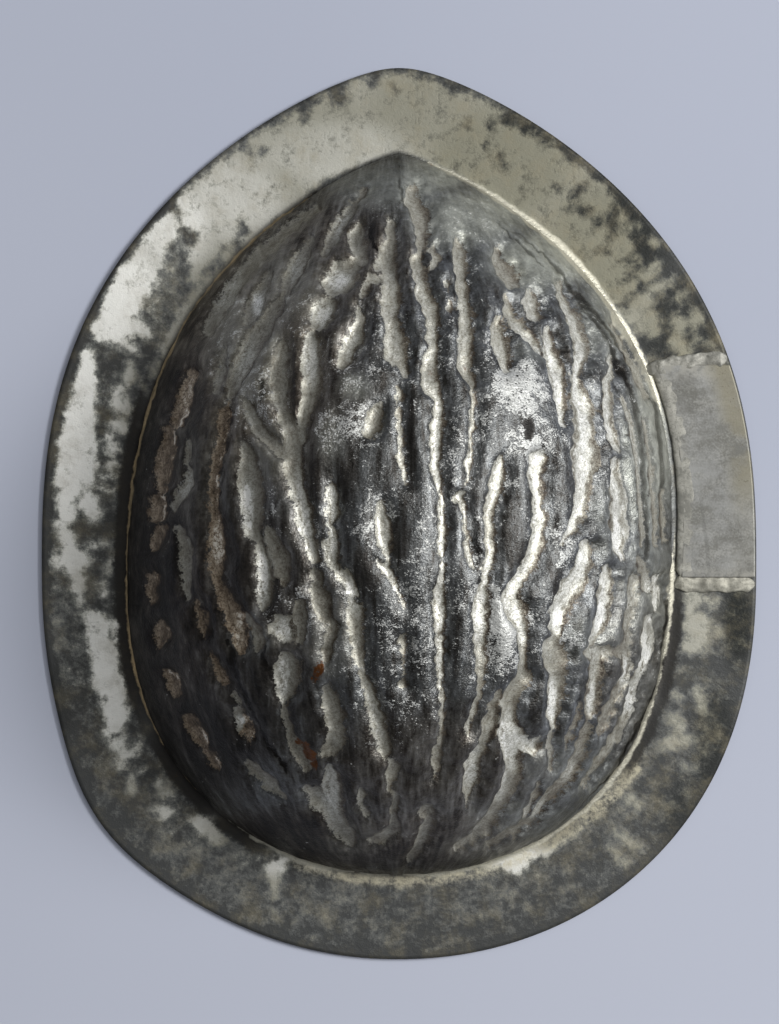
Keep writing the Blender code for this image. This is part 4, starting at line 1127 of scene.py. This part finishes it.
def fresh(name, add, **settings):
    """A new primitive under its own name."""
    only()
    add(**settings)
    piece = bpy.context.object
    piece.name = piece.data.name = name
    return piece


def flat_grid(name, columns, rows):
    """A flat grid to be laid over a shape, and its places from -1 to 1."""
    add = bpy.ops.mesh.primitive_grid_add
    piece = fresh(name, add, x_subdivisions=columns, y_subdivisions=rows, size=GRID_SIDE)
    flat = np.empty(len(piece.data.vertices) * 3)
    piece.data.vertices.foreach_get("co", flat)
    return piece, flat.reshape(-1, 3)


def lay(piece, places):
    """Moves a mesh's vertices to their places."""
    piece.data.vertices.foreach_set("co", places.ravel())
    piece.data.update()


def carry(piece, **fields):
    """Gives a mesh values at every vertex, for its material."""
    for name, values in fields.items():
        piece.data.attributes.new(name, "FLOAT", "POINT").data.foreach_set("value", values)


def modify(piece, kind, **settings):
    """Adds a modifier with its settings and applies it."""
    only(piece)
    modifier = piece.modifiers.new(kind.lower(), kind)
    for name, setting in settings.items():
        setattr(modifier, name, setting)
    bpy.ops.object.modifier_apply(modifier=modifier.name)


def shade(piece, degrees):
    """Shades a piece smooth where its faces turn by less than this."""
    only(piece)
    bpy.ops.object.shade_smooth_by_angle(angle=math.radians(degrees))


def shell_grid():
    """A flat grid for the shell, each vertex's place on it, and its ring outside the bowl."""
    columns, rows = CELLS_ACROSS + 2 * FLANGE_RINGS, CELLS_ALONG + 2 * FLANGE_RINGS
    shell, flat = flat_grid("furrowed_shell", columns, rows)
    column = np.round(flat[:, 0] * columns / GRID_SIDE)
    row = np.round(flat[:, 1] * rows / GRID_SIDE)
    ring = np.maximum(np.maximum(abs(column) - CELLS_ACROSS // 2, abs(row) - CELLS_ALONG // 2), 0)
    return shell, column / (CELLS_ACROSS // 2 + ring), row / (CELLS_ALONG // 2 + ring), ring


def press_furrows(spots, drawn):
    """How deep furrows are pressed, which kind is nearest, its distance and side, and how far
    off the shaded walls are."""
    fields = [run_field(drawn, runs) for runs in (CREAM_FURROWS, GREY_FURROWS, TAN_PITS)]
    swelling = SWELLING * grain_at(spots, SWELLING_SIZE, seed=11)
    reaches = np.array([field[0] for field in fields]) + swelling
    nearest = reaches.argmin(axis=0)
    pick = (nearest, np.arange(len(spots)))
    side = np.array([field[2] for field in fields])[pick]
    pressed = np.zeros(len(spots))
    uneven_depth = USUAL_DEPTH + DEPTH_CHANGE * grain_at(spots, DEPTH_CHANGE_SIZE, seed=7)
    for distance, (_, width, _), share in zip(reaches, fields, DEPTH_SHARES):
        depth = share * uneven_depth * np.minimum(DEEPEST, DEPTH_PER_WIDTH * width)
        inside = LIP - distance
        hollow = np.clip(inside / (width / 2 + LIP), 0, 1)
        groove = WALL_SHARE * soft(inside / WALL) + HOLLOW_SHARE * hollow * (2 - hollow)
        pressed = np.maximum(pressed, depth * groove)
    shifted = drawn - SHADED_WALL_SHIFT
    beyond = np.minimum(*(run_field(shifted, runs)[0] for runs in (CREAM_FURROWS, TAN_PITS)))
    shaded_wall = SHADED_WALL_DEPTH * uneven_depth * soft((SHADED_WALL_LIP - beyond) / WALL)
    return np.maximum(pressed, shaded_wall), nearest, reaches[pick], side, beyond


def wear(shell, spots, waver, places, ring):
    """Gives the shell the regions and lines of wear that its finish reads."""
    on_flange = ring > 0
    anywhere = {
        "burnish": BURNISHED_AND_HIGHLIT, "pale": PALE_PLATES, "warm": WARM_PLATES, "olive": OLIVE, "rust": RUST
    }
    worn = {name: region_field(spots, regions) for name, regions in anywhere.items()}
    by_side = (("bright", BRIGHT_FLANGE, BRIGHT_TIN_AND_HIGHLIGHTS), ("grime", FLANGE_GRIME_AND_SHADOW, GRIME_AND_SHADE))
    for name, flat, dome in by_side:
        worn[name] = np.where(on_flange, region_field(spots, flat), region_field(spots, dome))
    tip_climb = (TIP_SEAM_CLIMB - SEAM_CLIMB) * soft((TIP_SEAM_FROM - spots[:, 1]) / TIP_SEAM_OVER)
    height = places[:, 2] - SHEET
    above = SEAM_GONE * soft((height - (SEAM_CLIMB + tip_climb)) / SEAM_FADE)
    for name, runs in (("seam", CREAM_SEAM_AND_HIGHLIGHT), ("tan_seam", TAN_SEAM_AND_HIGHLIGHT)):
        worn[name] = (run_field(spots + SEAM_WAVER * waver, runs)[0] + above) * PIXEL
    glow = soft(1 - run_field(spots + waver, FOOT_GLOW)[0] / GLOW_REACH)
    carry(shell, glow=np.where(on_flange, glow, 0), **worn)


def pressed_shell():
    """The bowl and its flange in one pressing, with every furrow and patch of wear."""
    shell, across, along, ring = shell_grid()
    on_flange = (ring > 0)[:, None]
    bowl = smooth_bowl(across, along)
    smooth = np.where(on_flange, flange_ring(across, along, ring), bowl)
    spots = in_photo(smooth)
    waver = wander(spots, WAVER_SIZE, seeds=(0, 5))
    fine_waver = wander(spots, FINE_WAVER_SIZE, seeds=(2, 6))
    loose = 1 - region_field(spots, STRAIGHT)[:, None]
    drawn = spots + (WAVER * waver + FINE_WAVER * fine_waver) * loose

    pressed, nearest, reach, side, beyond = press_furrows(spots, drawn)
    crease = soft((CREASE_LIP - run_field(drawn, CREASES)[0]) / CREASE_WALL)
    pressed = np.maximum(pressed, CREASE_DEPTH * crease)
    clear = np.clip(np.minimum(reach, beyond) / PLATE_REACH, 0, 1)
    plates = PLATE_SWELL * clear * (2 - clear)
    uneven = DENT * grain_over(bowl, DENT_SIZE, seed=9) + PIT * grain_over(bowl, PIT_SIZE, seed=3)
    nutwise = from_pole_to_pole(smooth)
    ridged = soft((BOWL_TIP_Y - abs(bowl[:, 1])) / RIDGES_END)
    ridged = ridged * soft((reach + RIDGES_START) / RIDGES_GROW)
    uneven += RIDGE * ridged * grain_at(nutwise, RIDGE_WIDTH, seed=4)
    fade = np.clip((bowl[:, 2] - SHEET) / FADE_HEIGHT, 0, 1)
    press = (plates - pressed + uneven) * fade
    wavy_flange = smooth.copy()
    wavy_flange[:, 2] += FLANGE_WAVE * (1 + grain_at(spots, FLANGE_WAVE_SIZE, seed=1))
    pressed_bowl = bowl + outward_normals(across, along) * press[:, None]
    places = np.where(on_flange, wavy_flange, pressed_bowl)
    lay(shell, places)

    wear(shell, spots, waver, places, ring)
    tin, bare = (run_field(drawn, runs)[0] for runs in (FLANGE_TIN, FLANGE_BARE))
    cover = np.maximum(np.minimum(-tin, bare) * PIXEL, -BARE_COVER)
    direction, radius = from_crown(smooth[:, :2])
    carry(
        shell,
        reach=reach * PIXEL,
        side=side * np.clip((SHADE_TURNS_AT - spots[:, 0]) / SHADE_TURNS_OVER, -1, 1),
        off_middle=abs(side),
        crease=crease,
        tone=np.array(FURROW_TONES)[nearest],
        nut_across=nutwise[:, 0],
        nut_along=nutwise[:, 1],
        flange=soft(ring / FILLET_RINGS),
        cover=cover + HAZE_COVER * region_field(spots, FLANGE_HAZE),
        rim=radius - radius_at(BOWL_EDGE, direction),
        edge=radius_at(CUT_EDGE, direction) - radius,
    )

    shade(shell, degrees=75)
    shell.data.materials.append(worn_outside())
    shell.data.materials.append(tinned_inside())
    modify(
        shell, "SOLIDIFY", thickness=SHEET, offset=-1.0, material_offset=1, material_offset_rim=0
    )
    thin_inside(shell)
    return shell


def thin_inside(shell):
    """Fewer faces on the inside, away from the flange's cut edge."""
    mesh = shell.data
    edge = np.empty(len(mesh.vertices))
    mesh.attributes["edge"].data.foreach_get("value", edge)
    inner = [
        face.material_index == 1 and min(edge[i] for i in face.vertices) > FINE_NEAR_EDGE
        for face in mesh.polygons
    ]
    only(shell)
    bpy.ops.object.mode_set(mode="EDIT")
    bpy.ops.mesh.select_mode(type="FACE")
    bpy.ops.mesh.select_all(action="DESELECT")
    bpy.ops.object.mode_set(mode="OBJECT")
    mesh.polygons.foreach_set("select", inner)
    bpy.ops.object.mode_set(mode="EDIT")
    bpy.ops.mesh.decimate(ratio=INSIDE_KEPT)
    bpy.ops.object.mode_set(mode="OBJECT")


def patch_plate():
    """The tinplate patch, a little wavy, with a rounded edge."""
    patch, flat = flat_grid("patch_plate", *PATCH_CELLS)
    across, up = (flat[:, 0] + 1) / 2, (flat[:, 1] + 1) / 2
    y = PATCH_LOW_Y + (PATCH_HIGH_Y - PATCH_LOW_Y) * up
    inner = right_edge(BOWL_LINE, y) + FILLET_REACH + PATCH_INNER_GAP
    outer = right_edge(CUT_LINE, y) - PATCH_OUTER_GAP
    x = inner + (outer - inner) * across
    z = PATCH_TOP + PATCH_WAVE * grain_at(np.stack([x, y], axis=1), PATCH_WAVE_SIZE, seed=2)
    lay(patch, np.stack([x, y, z], axis=1))
    carry(patch, across=across, up=up)
    shade(patch, degrees=60)
    patch.data.materials.append(patch_finish())
    modify(patch, "SOLIDIFY", thickness=PATCH_THICKNESS, offset=-1.0)
    modify(
        patch, "BEVEL", width=PATCH_ROUNDING, segments=2, limit_method="ANGLE",
        angle_limit=math.radians(50),
    )
    return patch


def solder_run(name, path, width, height, lump, seed, material):
    """A low bead of solder along a path, with an uneven back and rounded ends."""
    add = bpy.ops.mesh.primitive_uv_sphere_add
    bead = fresh(name, add, segments=BEAD_SIDES, ring_count=BEAD_RINGS, radius=1.0)
    stops = np.concatenate([[0], np.cumsum(np.linalg.norm(np.diff(path, axis=0), axis=1))])
    back, flank, ripple = LUMP_LENGTHS
    places = []
    for vertex in bead.data.vertices:
        share = 0.5 + math.asin(max(-1.0, min(1.0, vertex.co.z))) / math.pi
        along = share * stops[-1]
        taper = math.sqrt(min(1.0, min(along, stops[-1] - along) / (width / 2)))
        middle, ahead, behind = (
            np.array([np.interp(along + step, stops, path[:, axis]) for axis in (0, 1)])
            for step in (0.0, PATH_STEP, -PATH_STEP)
        )
        way = (ahead - behind) / max(np.linalg.norm(ahead - behind), 1e-9)
        turn = math.atan2(vertex.co.y, vertex.co.x)
        out = math.copysign(abs(math.cos(turn)) ** SIDE_FULLNESS, math.cos(turn))
        swell = lump * noise.noise(Vector((along / back, seed, 0.0)))
        bulge = lump * noise.noise(Vector((along / flank, math.copysign(1.0, out), seed)))
        rough = lump * noise.noise(Vector((along / ripple, 2.0 * out, seed)))
        out *= width / 2 * taper * (1 + SIDE_LUMPS * bulge)
        rise = height * max(math.sin(turn), 0.0) ** BACK_FULLNESS
        rise *= taper * (1 + swell + RIPPLES * rough)
        place = middle + out * np.array([-way[1], way[0]])
        places.append((place[0], place[1], SHEET + UNDERSIDE * vertex.co.y + rise))
    lay(bead, np.array(places))
    only(bead)
    bpy.ops.object.mode_set(mode="EDIT")
    bpy.ops.mesh.select_all(action="SELECT")
    bpy.ops.mesh.remove_doubles(threshold=1e-6)
    bpy.ops.mesh.normals_make_consistent(inside=False)
    bpy.ops.object.mode_set(mode="OBJECT")
    bpy.ops.object.shade_smooth()
    bead.data.materials.append(material)
    return bead


def across_flange(edge_y, way, droop):
    """A path over the flange, beside an edge of the patch, that droops towards the bowl."""
    y = edge_y + way * (SOLDER_GAP + SOLDER_WIDTH / 2 - SOLDER_LAP / 2)
    start = right_edge(BOWL_LINE, y) + FILLET_REACH * OVER_FILLET
    end = right_edge(CUT_LINE, y) - SOLDER_OUTER_GAP
    across = np.linspace(0, 1, SHORT_PATH)
    hang = droop * (1 - across) ** DROOP_BEND
    return np.stack([start + (end - start) * across, y - hang], axis=1)


def patch_solder():
    """The solder runs on the patch's inner, lower and upper sides, lapping over its edge."""
    grey = solder_finish("grey_solder", (118, 117, 110), (166, 164, 155))
    cream = solder_finish("cream_solder", (132, 130, 120), (176, 173, 160))
    y = np.linspace(PATCH_LOW_Y - SOLDER_GAP, PATCH_HIGH_Y + SOLDER_GAP, LONG_PATH)
    x = right_edge(BOWL_LINE, y) + FILLET_REACH + SOLDER_GAP + SOLDER_WIDTH / 2 + BESIDE_BOWL_SHIFT
    beside_bowl = solder_run(
        "solder_beside_bowl", np.stack([x, y], axis=1), width=SOLDER_WIDTH + 2 * SOLDER_LAP,
        height=0.45 * MM, lump=0.16, seed=1.0, material=grey,
    )
    below_patch = solder_run(
        "solder_below_patch", across_flange(PATCH_LOW_Y, -1, droop=0.0),
        width=SOLDER_WIDTH + SOLDER_LAP, height=0.36 * MM, lump=0.7, seed=4.0, material=cream,
    )
    above_patch = solder_run(
        "solder_above_patch", across_flange(PATCH_HIGH_Y, 1, droop=UPPER_DROOP),
        width=SOLDER_WIDTH + SOLDER_LAP, height=0.46 * MM, lump=0.75, seed=8.0, material=grey,
    )
    return beside_bowl, below_patch, above_patch


# Floor, lamps and camera


def pale_floor():
    """The floor under the mould."""
    floor = fresh("pale_floor", bpy.ops.mesh.primitive_plane_add, size=FLOOR_SIZE)
    floor.data.materials.append(floor_finish())


def lamp(name, azimuth, height, distance, size, power):
    """A square soft lamp that points at the mould."""
    data = bpy.data.lights.new(name, "AREA")
    data.size = size
    data.energy = power
    piece = bpy.data.objects.new(name, data)
    bpy.context.scene.collection.objects.link(piece)
    turn, rise = math.radians(azimuth), math.radians(height)
    away = Vector(
        (math.cos(rise) * math.cos(turn), math.cos(rise) * math.sin(turn), math.sin(rise))
    )
    piece.location = away * distance
    piece.rotation_euler = away.to_track_quat("Z", "Y").to_euler()


def light():
    """Two soft lamps from the right and the tip, and a dim room."""
    lamp("key_lamp", azimuth=14, height=39, distance=0.9, size=0.36, power=8.6)
    lamp("top_lamp", azimuth=50, height=66, distance=1.1, size=0.8, power=2.6)
    world = bpy.data.worlds.new("room")
    bpy.context.scene.world = world
    world.use_nodes = True
    back = world.node_tree.nodes["Background"]
    back.inputs["Color"].default_value = ROOM_LIGHT
    back.inputs["Strength"].default_value = ROOM_STRENGTH


def camera():
    """The photograph's view from straight above, at its size and distance."""
    data = bpy.data.cameras.new("overhead")
    data.sensor_fit = "VERTICAL"
    data.sensor_height = SENSOR_HEIGHT
    half = PHOTO_HEIGHT / 2 * PIXEL
    data.lens = data.sensor_height / 2 * CAMERA_OVER_FLANGE / half
    data.clip_start = 0.01
    piece = bpy.data.objects.new("overhead", data)
    bpy.context.scene.collection.objects.link(piece)
    piece.location = (CAMERA_X, CAMERA_Y, SHEET + CAMERA_OVER_FLANGE)
    bpy.context.scene.camera = piece


def main():
    """Builds every piece, hangs it under the root, hides the solid it replaces, and sets the stage.
    """
    shell, patch = pressed_shell(), patch_plate()
    beside_bowl, below_patch, above_patch = patch_solder()
    for piece, node, slot in (
        (shell, "pressed_shell", "tinned_steel"),
        (patch, "flange_patch", "patch_tinplate"),
        (beside_bowl, "solder_run_inner", "soft_solder"),
        (below_patch, "solder_run_lower", "soft_solder"),
        (above_patch, "solder_run_upper", "soft_solder"),
    ):
        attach(piece, "root")
        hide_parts(node)
    pale_floor()
    light()
    camera()
    bpy.context.scene.view_settings.view_transform = "Standard"


main()
